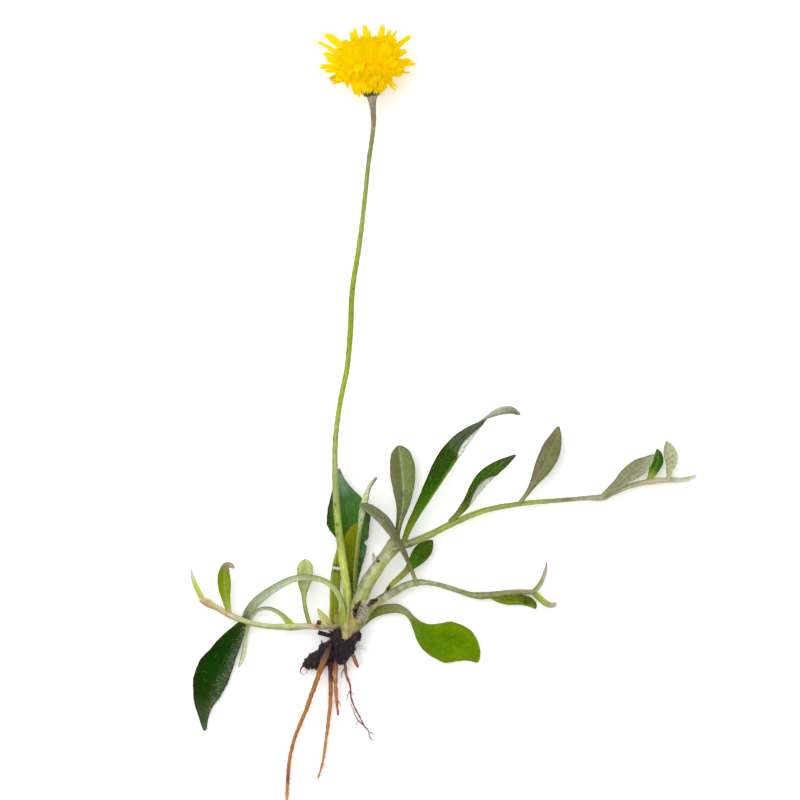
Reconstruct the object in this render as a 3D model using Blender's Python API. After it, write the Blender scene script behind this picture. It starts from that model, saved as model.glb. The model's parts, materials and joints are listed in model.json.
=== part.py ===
"""Mouse-ear hawkweed, pulled up whole and laid down: crown, roots, runners, leaves and one bloom.

The origin is on the surface under the crown. +X is to the right, +Y runs along the flower stem
and +Z is up. Places and sizes are in millimetres and become metres as each mesh is made.
"""

import math
import random

import bmesh
import bpy
import numpy as np
from mathutils import Matrix, Vector, noise

MM = 0.001
BLADE_THICKNESS = 0.65
LEAST_HALF_WIDTH = 0.2
TIP_HALF_WIDTH = 0.16
TIP_CROWDING = 1.25
STEM_RINGS = 3
ROOT_RINGS = 2

# A leaf or floret is given as stations along its midrib: x, y, z, half width and turn.
# Turn 0 shows the upper side to the sky, 90 stands the blade on edge and 180 shows the underside.
# A stem or root is given as stations x, y, z and radius.

SCAPE = [
    (0.8, 5.8, 3.9, 0.8),
    (0.95, 11.7, 4.6, 0.85),
    (0.0, 19, 5.4, 0.85),
    (-1.3, 29, 6.2, 0.8),
    (-2.2, 42, 6.7, 0.7),
    (-2.1, 51, 6.9, 0.62),
    (-0.8, 61, 7.0, 0.58),
    (0.8, 69, 7.05, 0.62),
    (1.6, 78, 7.1, 0.69),
    (2.1, 88, 7.2, 0.66),
    (3.9, 100, 7.4, 0.62),
    (5.1, 110, 7.6, 0.56),
    (6.15, 120, 7.8, 0.54),
    (7.4, 131, 7.95, 0.62),
    (7.0, 136.1, 8.0, 0.85),
]
STOLON_UPPER = [
    (2.8, 5.9, 5.8, 1.35),
    (3.6, 10.3, 5.9, 1.5),
    (5.6, 14.8, 5.7, 1.5),
    (8.2, 19, 5.4, 1.45),
    (11, 22.6, 5.0, 1.3),
    (13.4, 24.3, 4.7, 1.15),
    (16.5, 25.2, 4.4, 0.95),
    (21, 27.1, 4.2, 0.8),
    (28.5, 30.8, 3.9, 0.72),
    (35, 33.3, 3.5, 0.65),
    (44, 35, 3.0, 0.55),
    (54, 35.9, 2.6, 0.5),
    (61.5, 36.5, 2.4, 0.6),
    (64.8, 36.7, 2.4, 0.8),
    (67.5, 37.9, 2.3, 0.65),
    (73.5, 40, 2.0, 0.55),
    (78.5, 40.8, 1.7, 0.6),
    (82.6, 41, 1.4, 0.5),
]
STOLON_LOWER = [
    (4.7, 5.9, 3.5, 0.9),
    (6, 8.6, 3.5, 1.0),
    (8, 10.4, 3.5, 0.95),
    (10.5, 11.9, 3.4, 0.9),
    (13, 13.3, 3.3, 0.85),
    (15.5, 14.6, 3.2, 0.8),
    (18, 15.3, 3.0, 0.75),
    (22, 15.1, 2.7, 0.56),
    (27.5, 13.6, 2.4, 0.6),
    (31.5, 12.3, 2.1, 0.65),
    (34.2, 12, 2.0, 0.85),
    (37.5, 12.3, 1.9, 0.7),
    (42, 12.8, 1.8, 0.62),
    (47.3, 12.9, 1.6, 0.6),
]
STOLON_LEFT = [
    (-3.7, 4.3, 3.9, 0.65),
    (-6, 4.25, 3.8, 0.62),
    (-9, 4.4, 3.7, 0.65),
    (-13.3, 4.25, 3.65, 0.8),
    (-17, 4.3, 3.7, 0.62),
    (-21, 4.7, 3.75, 0.62),
    (-25, 5.8, 3.7, 0.62),
    (-29, 7.4, 3.0, 0.65),
    (-32, 9.1, 2.5, 0.65),
    (-34.6, 10.4, 2.0, 0.85),
    (-35.8, 10.9, 1.8, 0.6),
]

ROOT_LONG = [
    (-3.9, -1.3, 5.7, 0.7),
    (-5.2, -4.5, 5.1, 0.75),
    (-6.5, -8.2, 4.1, 0.62),
    (-8, -12.3, 3.2, 0.6),
    (-9.5, -16.5, 2.5, 0.55),
    (-11.3, -20.8, 1.9, 0.5),
    (-12.5, -24, 1.5, 0.45),
    (-13.4, -27.5, 1.2, 0.45),
    (-14.2, -35, 0.8, 0.4),
    (-14.4, -41, 0.6, 0.33),
    (-14, -45.5, 0.5, 0.22),
]
ROOT_MIDDLE = [
    (-3.4, -5.75, 2.3, 0.6),
    (-3.35, -10, 1.9, 0.55),
    (-3.4, -14, 1.7, 0.5),
    (-4.3, -22, 1.2, 0.4),
    (-4.8, -26, 1.0, 0.35),
    (-5.4, -29.8, 0.8, 0.3),
    (-6.6, -34, 0.5, 0.2),
]
ROOT_SHORT = [
    (-2.1, -5.6, 3.6, 0.6),
    (-2.15, -9.5, 3.2, 0.5),
    (-1.9, -13.5, 2.8, 0.4),
    (-1.5, -18, 2.4, 0.25),
]
ROOT_THIN = [
    (0.2, -5.3, 2.4, 0.38),
    (0.6, -8, 2.1, 0.35),
    (1.5, -10.5, 1.9, 0.3),
    (1.75, -13.5, 1.6, 0.28),
    (2.7, -16.2, 1.4, 0.26),
    (4, -18.6, 1.2, 0.25),
    (5, -20.6, 1.0, 0.22),
    (6.1, -22, 0.8, 0.2),
    (6.4, -23.6, 0.6, 0.18),
    (7.5, -24.5, 0.5, 0.15),
]
ROOT_THIN_BRANCH = [
    (5, -20.6, 1.0, 0.2),
    (3.5, -19.3, 0.9, 0.18),
    (2.7, -17.9, 0.8, 0.16),
    (2, -16, 0.7, 0.13),
]
ROOT_STUB = [
    (2.4, -3.3, 2.9, 0.5),
    (2.8, -4.4, 2.8, 0.45),
    (3.5, -5.9, 2.6, 0.35),
]

LEAF_BROAD = [
    (1.5, 5.9, 1.2, 0.7, 0),
    (2, 11, 1.3, 0.8, 0),
    (2, 17, 1.6, 1.3, 0),
    (2, 22, 1.78, 2.6, 0),
    (1.9, 27, 2.05, 4.1, 0),
    (1.4, 31, 2.3, 5.6, 0),
    (0.5, 34.4, 2.4, 4.8, 0),
    (-0.7, 38, 2.2, 2.4, 0),
    (-1.2, 43.7, 1.8, 0.5, 0),
]
LEAF_YELLOW = [
    (1.6, 5.9, 2.45, 0.5, 0),
    (2, 11, 2.6, 0.6, 0),
    (2.1, 16, 2.75, 1.0, 0),
    (1.9, 21, 2.95, 1.5, 0),
    (1.5, 24.8, 3.15, 1.9, 0),
    (1.6, 27.8, 3.25, 1.5, 0),
    (2.1, 30.5, 3.35, 0.5, 0),
]
LEAF_OLD = [
    (-2.5, 5.9, 1.6, 1.0, 0),
    (-2.5, 9.8, 1.5, 1.05, 0),
    (-2.25, 14.8, 1.15, 1.2, 0),
    (-1.75, 19, 0.82, 1.3, 0),
    (-1.2, 22, 0.65, 1.0, 0),
    (-0.7, 25, 0.6, 0.5, 0),
]
LEAF_FOLDED = [
    (3.1, 5.9, 3.3, 0.45, 60),
    (3.15, 11, 3.6, 0.45, 80),
    (3.45, 18, 4.35, 0.6, 110),
    (3.85, 24, 5.25, 0.8, 118),
    (4.6, 29, 5.8, 1.3, 118),
    (5.0, 33, 5.6, 1.5, 118),
    (5.6, 36.5, 5.5, 1.5, 118),
    (6.8, 39.5, 5.6, 0.9, 112),
    (8.5, 41.5, 5.2, 0.4, 110),
]
LEAF_ARCHED = [
    (-0.1, 5.9, 5.8, 0.6, 0),
    (-0.25, 8.5, 6.3, 0.6, 0),
    (-1, 11.7, 6.7, 0.6, 0),
    (-2.75, 14.4, 6.8, 0.6, 0),
    (-5.5, 16.1, 6.8, 0.6, 0),
    (-8.75, 16.7, 6.5, 0.6, 0),
    (-12, 16.5, 6.0, 0.65, 0),
    (-15.25, 15.2, 5.2, 0.75, 0),
    (-18.5, 13.2, 4.1, 0.95, 0),
    (-21.5, 10.9, 2.7, 1.1, 0),
    (-23.8, 8.25, 1.38, 1.0, 0),
    (-25.2, 5.6, 1.0, 1.0, 0),
    (-26.5, 3, 1.0, 1.7, 0),
    (-28, 0, 0.9, 2.6, 0),
    (-30, -3.4, 0.85, 3.5, 0),
    (-32.6, -8.2, 0.8, 3.95, 0),
    (-34.2, -12.5, 0.75, 3.3, 0),
    (-35, -16.5, 0.6, 2.0, 0),
    (-35.1, -21.7, 0.36, 0.6, 0),
]
LEAF_BRIGHT = [
    (4.7, 5.5, 1.6, 0.9, 0),
    (6.3, 7.0, 1.7, 1.05, 0),
    (8.5, 8.1, 1.7, 1.1, 0),
    (11.2, 8.75, 1.8, 1.15, 0),
    (13.5, 8.75, 2.0, 1.0, 0),
    (15.5, 7.9, 2.0, 0.75, 0),
    (17, 6.2, 1.7, 0.8, 0),
    (18.7, 4.6, 1.4, 1.8, 0),
    (21, 2.3, 1.1, 3.4, 0),
    (24, 0, 0.9, 4.6, 0),
    (27.5, -1.6, 0.8, 5.1, 0),
    (30.8, -3.2, 0.6, 3.6, 0),
    (33.5, -4.8, 0.36, 0.9, 0),
]
WITHERED_BASE = [
    (3.2, 7.0, 8.1, 0.8, 0),
    (3.7, 8.7, 8.25, 1.2, 0),
    (4.4, 10.8, 8.2, 0.6, 0),
]
WITHERED_SCALE = [
    (6.1, 9.9, 5.05, 0.4, 0),
    (7, 10.9, 5.15, 0.6, 0),
    (8.3, 11.5, 5.05, 0.3, 0),
]

LEAF_GREY = [
    (18, 15.4, 4.5, 0.4, 180),
    (17.2, 17.8, 5.6, 0.4, 180),
    (16.2, 20.4, 6.9, 0.45, 180),
    (15, 23, 7.9, 0.6, 180),
    (13.4, 26, 8.5, 0.95, 180),
    (11.8, 28.6, 8.7, 1.25, 180),
    (10, 31, 8.6, 1.4, 180),
    (7.9, 32.9, 8.5, 1.3, 180),
    (5.8, 34.2, 8.2, 1.1, 180),
    (3.9, 34.7, 7.6, 0.8, 180),
]
LEAF_DARK = [
    (11.2, 14.15, 3.9, 0.5, 0),
    (14, 16.7, 3.5, 0.5, 0),
    (16, 18.7, 3.1, 0.6, 0),
    (17.4, 20.3, 2.8, 1.0, 0),
    (18.9, 22.2, 2.4, 1.8, 0),
    (20.5, 24, 2.1, 1.9, 0),
    (22, 25.5, 1.8, 0.6, 0),
]
LEAF_FELTED = [
    (13.2, 26, 5.2, 0.45, 180),
    (13.5, 28.5, 5.4, 0.5, 180),
    (14, 31, 5.4, 0.75, 180),
    (14.6, 33.5, 5.3, 1.2, 180),
    (14.9, 36, 5.1, 1.85, 180),
    (14.9, 39, 4.9, 2.6, 180),
    (14.6, 43.5, 4.5, 3.2, 180),
    (14.2, 46.5, 4.1, 2.9, 180),
    (13.9, 49.6, 3.6, 1.8, 180),
]
LEAF_LONG = [
    (15.2, 26.4, 5.2, 0.5, 0),
    (16.2, 29, 5.5, 0.65, 0),
    (17.8, 32.2, 5.9, 0.9, 0),
    (20.3, 36.8, 6.4, 1.3, 0),
    (22.7, 41.3, 6.8, 1.8, 0),
    (25.2, 45.8, 7.0, 2.25, 0),
    (27.9, 49.6, 7.0, 2.3, 20),
    (30.9, 52.9, 6.8, 2.1, 50),
    (33.9, 55.6, 6.6, 1.7, 80),
    (36.6, 57.5, 6.4, 1.4, 115),
    (39.3, 58.5, 6.2, 1.2, 140),
    (41.8, 58.6, 6.0, 1.0, 150),
    (43.8, 57.6, 5.6, 0.5, 155),
]
LEAF_NARROW = [
    (28.1, 32.2, 4.5, 0.5, 0),
    (29.4, 33.6, 4.8, 0.7, 0),
    (30.9, 35.6, 5.0, 0.9, 0),
    (32.5, 38.3, 5.2, 1.2, 0),
    (34.4, 41, 5.4, 1.6, 0),
    (36.9, 43.3, 5.3, 1.6, 0),
    (39.6, 45.1, 5.1, 1.1, 0),
    (42.8, 47.2, 4.7, 0.4, 0),
]
LEAF_OLIVE = [
    (44.6, 36.1, 3.6, 0.4, 180),
    (45.9, 37.8, 3.9, 0.45, 180),
    (47.3, 40, 4.1, 0.7, 180),
    (48.9, 42.7, 4.2, 1.6, 180),
    (50.6, 45.8, 4.2, 2.4, 180),
    (51.9, 48.8, 4.0, 2.4, 180),
    (52.9, 51.6, 3.7, 1.6, 180),
    (53.6, 54.4, 3.2, 0.5, 180),
]
LEAF_SILVER = [
    (66.2, 38.3, 3.6, 0.55, 180),
    (68.3, 39.8, 3.9, 0.8, 180),
    (70.2, 41.6, 4.0, 1.3, 180),
    (72.3, 43.2, 4.0, 2.0, 180),
    (74.4, 44.6, 3.9, 2.0, 180),
    (76.1, 45.9, 3.7, 1.3, 180),
    (77.5, 47.2, 3.4, 0.5, 180),
]
LEAF_YOUNG_DARK = [
    (76.7, 41.8, 2.3, 0.5, 0),
    (77.2, 43.3, 2.3, 0.8, 0),
    (77.9, 45, 2.1, 1.25, 0),
    (78.4, 46.8, 2.0, 1.1, 0),
    (78.2, 48.6, 1.9, 0.5, 0),
]
LEAF_YOUNG_PALE = [
    (81.3, 41.8, 2.1, 0.45, 180),
    (81.5, 43.6, 2.4, 0.7, 180),
    (81.8, 45.6, 2.6, 1.5, 180),
    (81.5, 47.8, 2.6, 1.5, 180),
    (80.8, 50.3, 2.3, 0.7, 180),
]
LEAF_UPPER_TIP = [
    (83.2, 41.1, 1.4, 0.5, 0),
    (85, 41.2, 1.3, 0.5, 0),
    (86.8, 41.6, 1.1, 0.4, 0),
    (88.4, 42.2, 0.8, 0.25, 0),
]
LEAF_HANGING = [
    (38.5, 11.0, 1.6, 0.5, 0),
    (41, 10.8, 1.2, 0.9, 0),
    (44, 10.9, 1.0, 1.1, 0),
    (46.5, 10.2, 0.9, 0.8, 0),
    (48, 8.9, 0.8, 0.4, 0),
]
LEAF_RISING = [
    (47.9, 13.4, 1.7, 0.5, 0),
    (49, 14.8, 2.0, 0.5, 0),
    (49.9, 16.6, 2.2, 0.4, 0),
    (50.4, 18.2, 2.3, 0.35, 0),
    (50.7, 19.6, 2.3, 0.25, 0),
]
LEAF_BLUNT = [
    (48.0, 12.4, 1.6, 0.5, 0),
    (49.5, 10.9, 1.3, 0.6, 0),
    (50.8, 9.9, 1.1, 0.6, 0),
    (52.2, 9.6, 1.1, 0.5, 0),
    (52.9, 10, 1.1, 0.4, 0),
]

LEAF_SCALE = [
    (-4.2, 5.4, 4.6, 0.5, 0),
    (-4.9, 6.5, 5.0, 0.9, 0),
    (-5.8, 7.6, 5.2, 0.7, 0),
    (-6.8, 8.7, 5.3, 0.3, 0),
]
LEAF_SPOON = [
    (-8.8, 5.6, 3.9, 0.4, 0),
    (-9.5, 8, 4.15, 0.4, 0),
    (-9.9, 10.6, 4.1, 0.42, 0),
    (-9.95, 13, 4.0, 0.8, 0),
    (-9.85, 15, 3.9, 1.5, 0),
    (-9.75, 17.3, 3.7, 1.9, 0),
    (-9.65, 19.3, 3.5, 1.9, 0),
    (-9.6, 21.1, 3.3, 1.3, 0),
]
LEAF_CURLED = [
    (-14.0, 5.7, 3.7, 0.6, 0),
    (-15.3, 6.9, 3.7, 0.45, 0),
    (-17.3, 8.3, 3.6, 0.4, 0),
    (-19.5, 8.9, 3.4, 0.4, 0),
    (-21.6, 8.4, 3.1, 0.4, 0),
    (-23.0, 7.1, 2.9, 0.4, 0),
    (-23.85, 5.25, 2.33, 0.4, 0),
    (-24.2, 2, 1.6, 0.5, 0),
    (-24.6, -1.5, 0.9, 0.55, 0),
    (-25.6, -4, 0.7, 0.5, 0),
    (-26.6, -5.9, 0.6, 0.3, 0),
]
LEAF_HOOKED = [
    (-28.9, 8.6, 3.6, 0.5, 0),
    (-29.4, 10.8, 3.7, 0.8, 0),
    (-29.7, 13.2, 3.7, 1.2, 0),
    (-29.95, 16, 3.7, 1.45, 0),
    (-29.9, 18.1, 3.9, 1.35, 0),
    (-29.2, 19.5, 4.4, 0.9, 0),
    (-28.2, 19.6, 4.9, 0.6, 0),
    (-27.5, 19, 5.0, 0.35, 0),
]
LEAF_LEFT_TIP = [
    (-36.2, 11.8, 1.9, 0.5, 0),
    (-37, 13.4, 1.8, 0.5, 0),
    (-37.9, 15.5, 1.7, 0.45, 0),
    (-38.4, 17.2, 1.6, 0.35, 0),
    (-38.3, 18.5, 1.6, 0.25, 0),
]

# The crown is a few grown-together lumps: centre and radii of each.
CROWN_LUMPS = [
    ((0.1, 0.2, 2.8), (3.4, 4.0, 3.5)),
    ((0.3, 2.8, 3.9), (3.2, 2.3, 2.9)),
    ((-1.7, -2.7, 2.7), (2.8, 2.6, 2.5)),
    ((-4.8, -3.4, 2.3), (3.8, 2.0, 1.8)),
    ((-7.7, -4.7, 2.1), (2.6, 1.5, 1.5)),
]
# The bark is uneven: how high and how closely set its swellings and its small bumps are.
SWELLINGS = (0.45, 0.9)
BUMPS = (0.1, 2.1)
CROWN_STUB = [(-1.5, 1.6, 3.2, 0.5), (-4, 2.2, 3.2, 0.45), (-6.4, 2.9, 3.0, 0.42)]
CROWN_ROOTLET = [(-9.2, -5.2, 2.1, 0.3), (-10.6, -6.2, 1.9, 0.26), (-10.9, -7.2, 1.8, 0.22)]

# The bloom lies on its side. Its own frame has h along its axis and r out from the axis.
# An azimuth of 0 is on the right, 90 on top and 180 on the left.
HEAD_BASE = (7.0, 136.5, 8.0)
HEAD_LEAN = 6
HEAD_SIDES = 14
CUP_PROFILE = [(0, 0), (1.2, 0), (2.1, 0.5), (2.9, 1.6), (3.3, 3.0), (3.4, 4.3), (0, 4.3)]
BRACTS_IN_RING = 9
BRACT_TIPS = [3.9, 5.5]
BRACT_HALF_WIDTH = 0.85
BRACT_TIP_HALF_WIDTH = 0.2
# Each ring of bracts starts higher than the one before it, stands out more and is turned on.
BRACT_ROOT = (1.2, 0.8)
RING_RISE = 0.7
RING_PROUD = 0.16
RING_TURN = 0.47
BRACT_TURN = 0.21
CORE_PROFILE = [
    (0, 4.7),
    (2.8, 4.7),
    (3.0, 6.2),
    (5.2, 7.1),
    (6.7, 8.6),
    (6.9, 10.4),
    (5.9, 12.0),
    (3.4, 13.2),
    (0, 13.6),
]
FLORET_HALF_WIDTH = 0.95
FLORET_OUTLINE = [0.8, 1.0, 0.9]
TOOTH_LENGTH = 0.7
# Each ring of florets: how many, start r and h, least and most lean from the axis, length.
FLORET_RINGS = [
    (6, 1.4, 11.8, 5, 20, 4.2),
    (10, 3.2, 11.2, 20, 38, 4.8),
    (12, 4.2, 10.4, 44, 62, 5.2),
    (13, 4.6, 9.2, 68, 88, 5.2),
]
# The long florets, each by its azimuth and by the r and h of its tip.
LONG_FLORETS = [
    (180, 12.2, 15.0),
    (172, 10.4, 16.9),
    (165, 9.6, 16.4),
    (190, 11.4, 12.0),
    (178, 12.6, 8.9),
    (184, 10.6, 5.6),
    (160, 2.9, 17.4),
    (90, 0.6, 18.0),
    (20, 5.0, 17.3),
    (-12, 6.8, 16.4),
    (12, 8.3, 15.7),
    (-5, 11.6, 14.1),
    (6, 12.1, 7.0),
    (-14, 9.6, 5.4),
    (50, 11.0, 10.5),
    (76, 11.6, 8.0),
    (102, 11.2, 10.5),
    (128, 11.4, 7.4),
    (142, 10.6, 13.0),
    (34, 11.0, 6.0),
    (-60, 11.0, 9.5),
    (-100, 11.0, 8.5),
    (-135, 11.2, 10.0),
]
# The lowest florets fold down over the cup, through these places (r, h).
DROOPING_FLORETS = 13
DROOP = [(4.6, 8.0), (6.6, 6.6), (5.0, 2.2)]
# Florets that would reach under this height are pressed up by the surface that the bloom lies on.
PRESSED_BELOW = 3.0
PRESSING = 0.37


def material(name, colour, roughness):
    """A Principled material of one colour."""
    made = bpy.data.materials.new(name)
    made.use_nodes = True
    shader = made.node_tree.nodes["Principled BSDF"]
    shader.inputs["Base Color"].default_value = (*colour, 1)
    shader.inputs["Roughness"].default_value = roughness
    shader.inputs["Metallic"].default_value = 0
    made.diffuse_color = (*colour, 1)
    return made


def add_object(name, data, finish):
    made = bpy.data.objects.new(name, data)
    bpy.context.scene.collection.objects.link(made)
    data.materials.append(finish)
    return made


def smooth(stations, rows, crowding):
    """Rows on a smooth curve through the stations; a crowding over 1 sets them closer near the tip."""
    stations = np.array(stations, float)
    steps = np.linalg.norm(np.diff(stations[:, :3], axis=0), axis=1)
    along = np.concatenate([[0], np.cumsum(steps)])
    slopes = np.gradient(stations, along, axis=0)
    places = along[-1] * (1 - (1 - np.linspace(0, 1, rows)) ** crowding)
    first = np.clip(np.searchsorted(along, places, side="right") - 1, 0, len(along) - 2)
    span = along[first + 1] - along[first]
    t = ((places - along[first]) / span)[:, None]
    span = span[:, None]
    start_pull = (2 * t**3 - 3 * t**2 + 1) * stations[first]
    start_slope = (t**3 - 2 * t**2 + t) * span * slopes[first]
    end_pull = (3 * t**2 - 2 * t**3) * stations[first + 1]
    end_slope = (t**3 - t**2) * span * slopes[first + 1]
    return start_pull + start_slope + end_pull + end_slope, places


def frames(points, turns, sky):
    """Side and normal of the blade at each row. The normal is the sky's direction, turned."""
    tangent = np.gradient(points, axis=0)
    tangent /= np.linalg.norm(tangent, axis=1)[:, None]
    up = sky - (sky * tangent).sum(axis=1)[:, None] * tangent
    up /= np.linalg.norm(up, axis=1)[:, None]
    side = np.cross(tangent, up)
    angle = np.radians(turns)[:, None]
    return side * np.cos(angle) - up * np.sin(angle), up * np.cos(angle) + side * np.sin(angle)


def blade_sheet(centres, half_widths, side, normal, columns, fold, wave, wave_count):
    """Grid of points: across by half width, with the margins raised by the fold and waved."""
    across = np.linspace(-1, 1, columns + 1)[None, :, None]
    rows = np.linspace(0, 1, len(centres))[:, None, None]
    half = half_widths[:, None, None]
    ripple = wave * np.sin(2 * math.pi * wave_count * rows + across) * across**2
    lift = half * (fold * np.abs(across) + ripple)
    return centres[:, None] + side[:, None] * half * across + normal[:, None] * lift


def sheet_faces(rows, columns):
    """Triangles of a grid, with the diagonals mirrored about the midrib."""
    faces = []
    for row in range(rows - 1):
        for column in range(columns):
            a = row * (columns + 1) + column
            b = a + 1
            c = b + columns + 1
            d = a + columns + 1
            if column < columns / 2:
                faces += [(a, b, d), (b, c, d)]
            else:
                faces += [(a, b, c), (a, c, d)]
    return faces


def leaf(name, stations, finish, rows=14, columns=4, fold=0.12, wave=0.0, wave_count=2.0,
         round_tip=1.5, notch=None):
    """A leaf: a sheet swept along the midrib, then given its thickness."""
    swept, places = smooth(stations, rows, TIP_CROWDING)
    half_widths = np.maximum(swept[:, 3], LEAST_HALF_WIDTH)
    into_tip = np.clip((places - places[-1] + round_tip) / round_tip, 0, 1)
    half_widths = np.maximum(half_widths * np.sqrt(1 - into_tip**2), TIP_HALF_WIDTH)
    sky = np.tile([0.0, 0.0, 1.0], (rows, 1))
    side, normal = frames(swept[:, :3], swept[:, 4], sky)
    grid = blade_sheet(swept[:, :3], half_widths, side, normal, columns, fold, wave, wave_count)
    if notch:
        row = round(notch[0] * (rows - 1))
        grid[row, -1] += (grid[row, columns // 2] - grid[row, -1]) * notch[1]
    mesh = bpy.data.meshes.new(name)
    mesh.from_pydata((grid.reshape(-1, 3) * MM).tolist(), [], sheet_faces(rows, columns))
    mesh.shade_smooth()
    made = add_object(name, mesh, finish)
    wall = made.modifiers.new("Blade thickness", "SOLIDIFY")
    wall.thickness = BLADE_THICKNESS * MM
    wall.offset = 0
    return made


def stem(name, stations, finish, rings=STEM_RINGS, sides=2):
    """A round stem or root: a smooth curve with its own radius at each station."""
    curve = bpy.data.curves.new(name, "CURVE")
    curve.dimensions = "3D"
    curve.bevel_depth = MM
    curve.bevel_resolution = sides
    curve.use_fill_caps = True
    curve.resolution_u = rings
    spline = curve.splines.new("BEZIER")
    spline.bezier_points.add(len(stations) - 1)
    for point, (x, y, z, radius) in zip(spline.bezier_points, stations):
        point.co = Vector((x, y, z)) * MM
        point.radius = radius
        point.handle_left_type = "AUTO"
        point.handle_right_type = "AUTO"
    return add_object(name, curve, finish)


def turned_solid(name, profile, sides, finish):
    """A closed solid turned from an (r, h) profile that starts and ends on the axis."""
    points = []
    rings = []
    for r, h in profile:
        count = sides if r > 0 else 1
        rings.append(range(len(points), len(points) + count))
        for i in range(count):
            angle = 2 * math.pi * i / sides
            points.append(Vector((r * math.cos(angle), r * math.sin(angle), h)) * MM)
    faces = []
    for lower, upper in zip(rings, rings[1:]):
        for i in range(sides):
            a, b = lower[i % len(lower)], lower[(i + 1) % len(lower)]
            c, d = upper[(i + 1) % len(upper)], upper[i % len(upper)]
            faces.append(tuple(dict.fromkeys((a, b, c, d))))
    mesh = bpy.data.meshes.new(name)
    mesh.from_pydata(points, [], faces)
    return add_object(name, mesh, finish)


def as_mesh(made):
    """A mesh object in place of a curve object, closed where its caps meet its sides."""
    bpy.context.view_layer.update()
    graph = bpy.context.evaluated_depsgraph_get()
    mesh = bpy.data.meshes.new_from_object(made.evaluated_get(graph))
    name = made.name
    bpy.data.objects.remove(made)
    working = bmesh.new()
    working.from_mesh(mesh)
    bmesh.ops.remove_doubles(working, verts=working.verts, dist=0.001 * MM)
    bmesh.ops.recalc_face_normals(working, faces=working.faces)
    working.to_mesh(mesh)
    working.free()
    solid = bpy.data.objects.new(name, mesh)
    bpy.context.scene.collection.objects.link(solid)
    return solid


def drop_inner_shells(mesh):
    """Keeps the largest shell: a hollow that fusing sealed is filled, and a loose scrap goes."""
    working = bmesh.new()
    working.from_mesh(mesh)
    unseen = set(working.verts)
    shells = []
    while unseen:
        shell = {unseen.pop()}
        edge = list(shell)
        while edge:
            linked = {link.other_vert(vertex) for vertex in edge for link in vertex.link_edges}
            edge = linked - shell
            shell |= edge
        unseen -= shell
        shells.append(shell)
    shells.sort(key=len)
    for shell in shells[:-1]:
        bmesh.ops.delete(working, geom=list(shell), context="VERTS")
    working.to_mesh(mesh)
    working.free()


def joined(base, pieces, solver="EXACT"):
    """The base with all the pieces fused to it by one Boolean union, which is applied."""
    group = bpy.data.collections.new("pieces of " + base.name)
    bpy.context.scene.collection.children.link(group)
    for piece in pieces:
        bpy.context.scene.collection.objects.unlink(piece)
        group.objects.link(piece)
    union = base.modifiers.new("Fuse", "BOOLEAN")
    union.operation = "UNION"
    union.operand_type = "COLLECTION"
    union.collection = group
    union.solver = solver
    bpy.context.view_layer.update()
    graph = bpy.context.evaluated_depsgraph_get()
    fused = bpy.data.meshes.new_from_object(base.evaluated_get(graph))
    drop_inner_shells(fused)
    base.modifiers.clear()
    base.data = fused
    for piece in pieces:
        bpy.data.objects.remove(piece)
    bpy.data.collections.remove(group)
    return base


def cut_flat(made):
    """Cuts off what is under the surface, and closes the cut with a flat face."""
    working = bmesh.new()
    working.from_mesh(made.data)
    everything = working.verts[:] + working.edges[:] + working.faces[:]
    cut = bmesh.ops.bisect_plane(
        working, geom=everything, plane_co=(0, 0, 0), plane_no=(0, 0, -1), clear_outer=True
    )
    edges = [item for item in cut["geom_cut"] if isinstance(item, bmesh.types.BMEdge)]
    bmesh.ops.holes_fill(working, edges=edges)
    bmesh.ops.triangulate(working, faces=working.faces)
    working.to_mesh(made.data)
    working.free()


def crown_lump(centre, radii, finish):
    """One rough lump of the crown."""
    working = bmesh.new()
    bmesh.ops.create_icosphere(working, subdivisions=2, radius=1)
    for vertex in working.verts:
        place = Vector(centre) + Vector(vertex.co) * Vector(radii)
        swell = sum(height * noise.noise(place * closeness) for height, closeness in (SWELLINGS, BUMPS))
        vertex.co = (place + vertex.co.normalized() * swell) * MM
    mesh = bpy.data.meshes.new("crown lump")
    working.to_mesh(mesh)
    working.free()
    return add_object("crown lump", mesh, finish)


def crown(finish):
    """The rhizome with its side lobe, the pale neck, a broken stub and one short rootlet."""
    lumps = [crown_lump(centre, radii, finish) for centre, radii in CROWN_LUMPS]
    base = lumps[0]
    base.name = "crown"
    stub = as_mesh(stem("stub", CROWN_STUB, finish))
    rootlet = as_mesh(stem("rootlet", CROWN_ROOTLET, finish))
    joined(base, lumps[1:] + [stub, rootlet])
    cut_flat(base)
    base.data.shade_smooth()


def branched_root(finish):
    """The thin root, fused with its one branch."""
    root = as_mesh(stem("root_thin", ROOT_THIN, finish, ROOT_RINGS, 1))
    branch = as_mesh(stem("branch", ROOT_THIN_BRANCH, finish, ROOT_RINGS, 1))
    root.name = "root_thin"
    joined(root, [branch])
    root.data.shade_smooth()


def around(azimuth, profile):
    """Places (r, h) set at one azimuth of the bloom, as rows of x, y, z in its own frame."""
    profile = np.array(profile, float)
    angle = math.radians(azimuth)
    r = profile[:, :1]
    return np.hstack([r * math.cos(angle), -r * math.sin(angle), profile[:, 1:]])


def pressed(points):
    """Points of the bloom, eased up where they would sink under the surface that it lies on."""
    height = HEAD_BASE[2] - points[:, 1]
    eased = PRESSED_BELOW - (PRESSED_BELOW - height) * PRESSING
    points[:, 1] = HEAD_BASE[2] - np.where(height < PRESSED_BELOW, eased, height)
    return points


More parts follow.
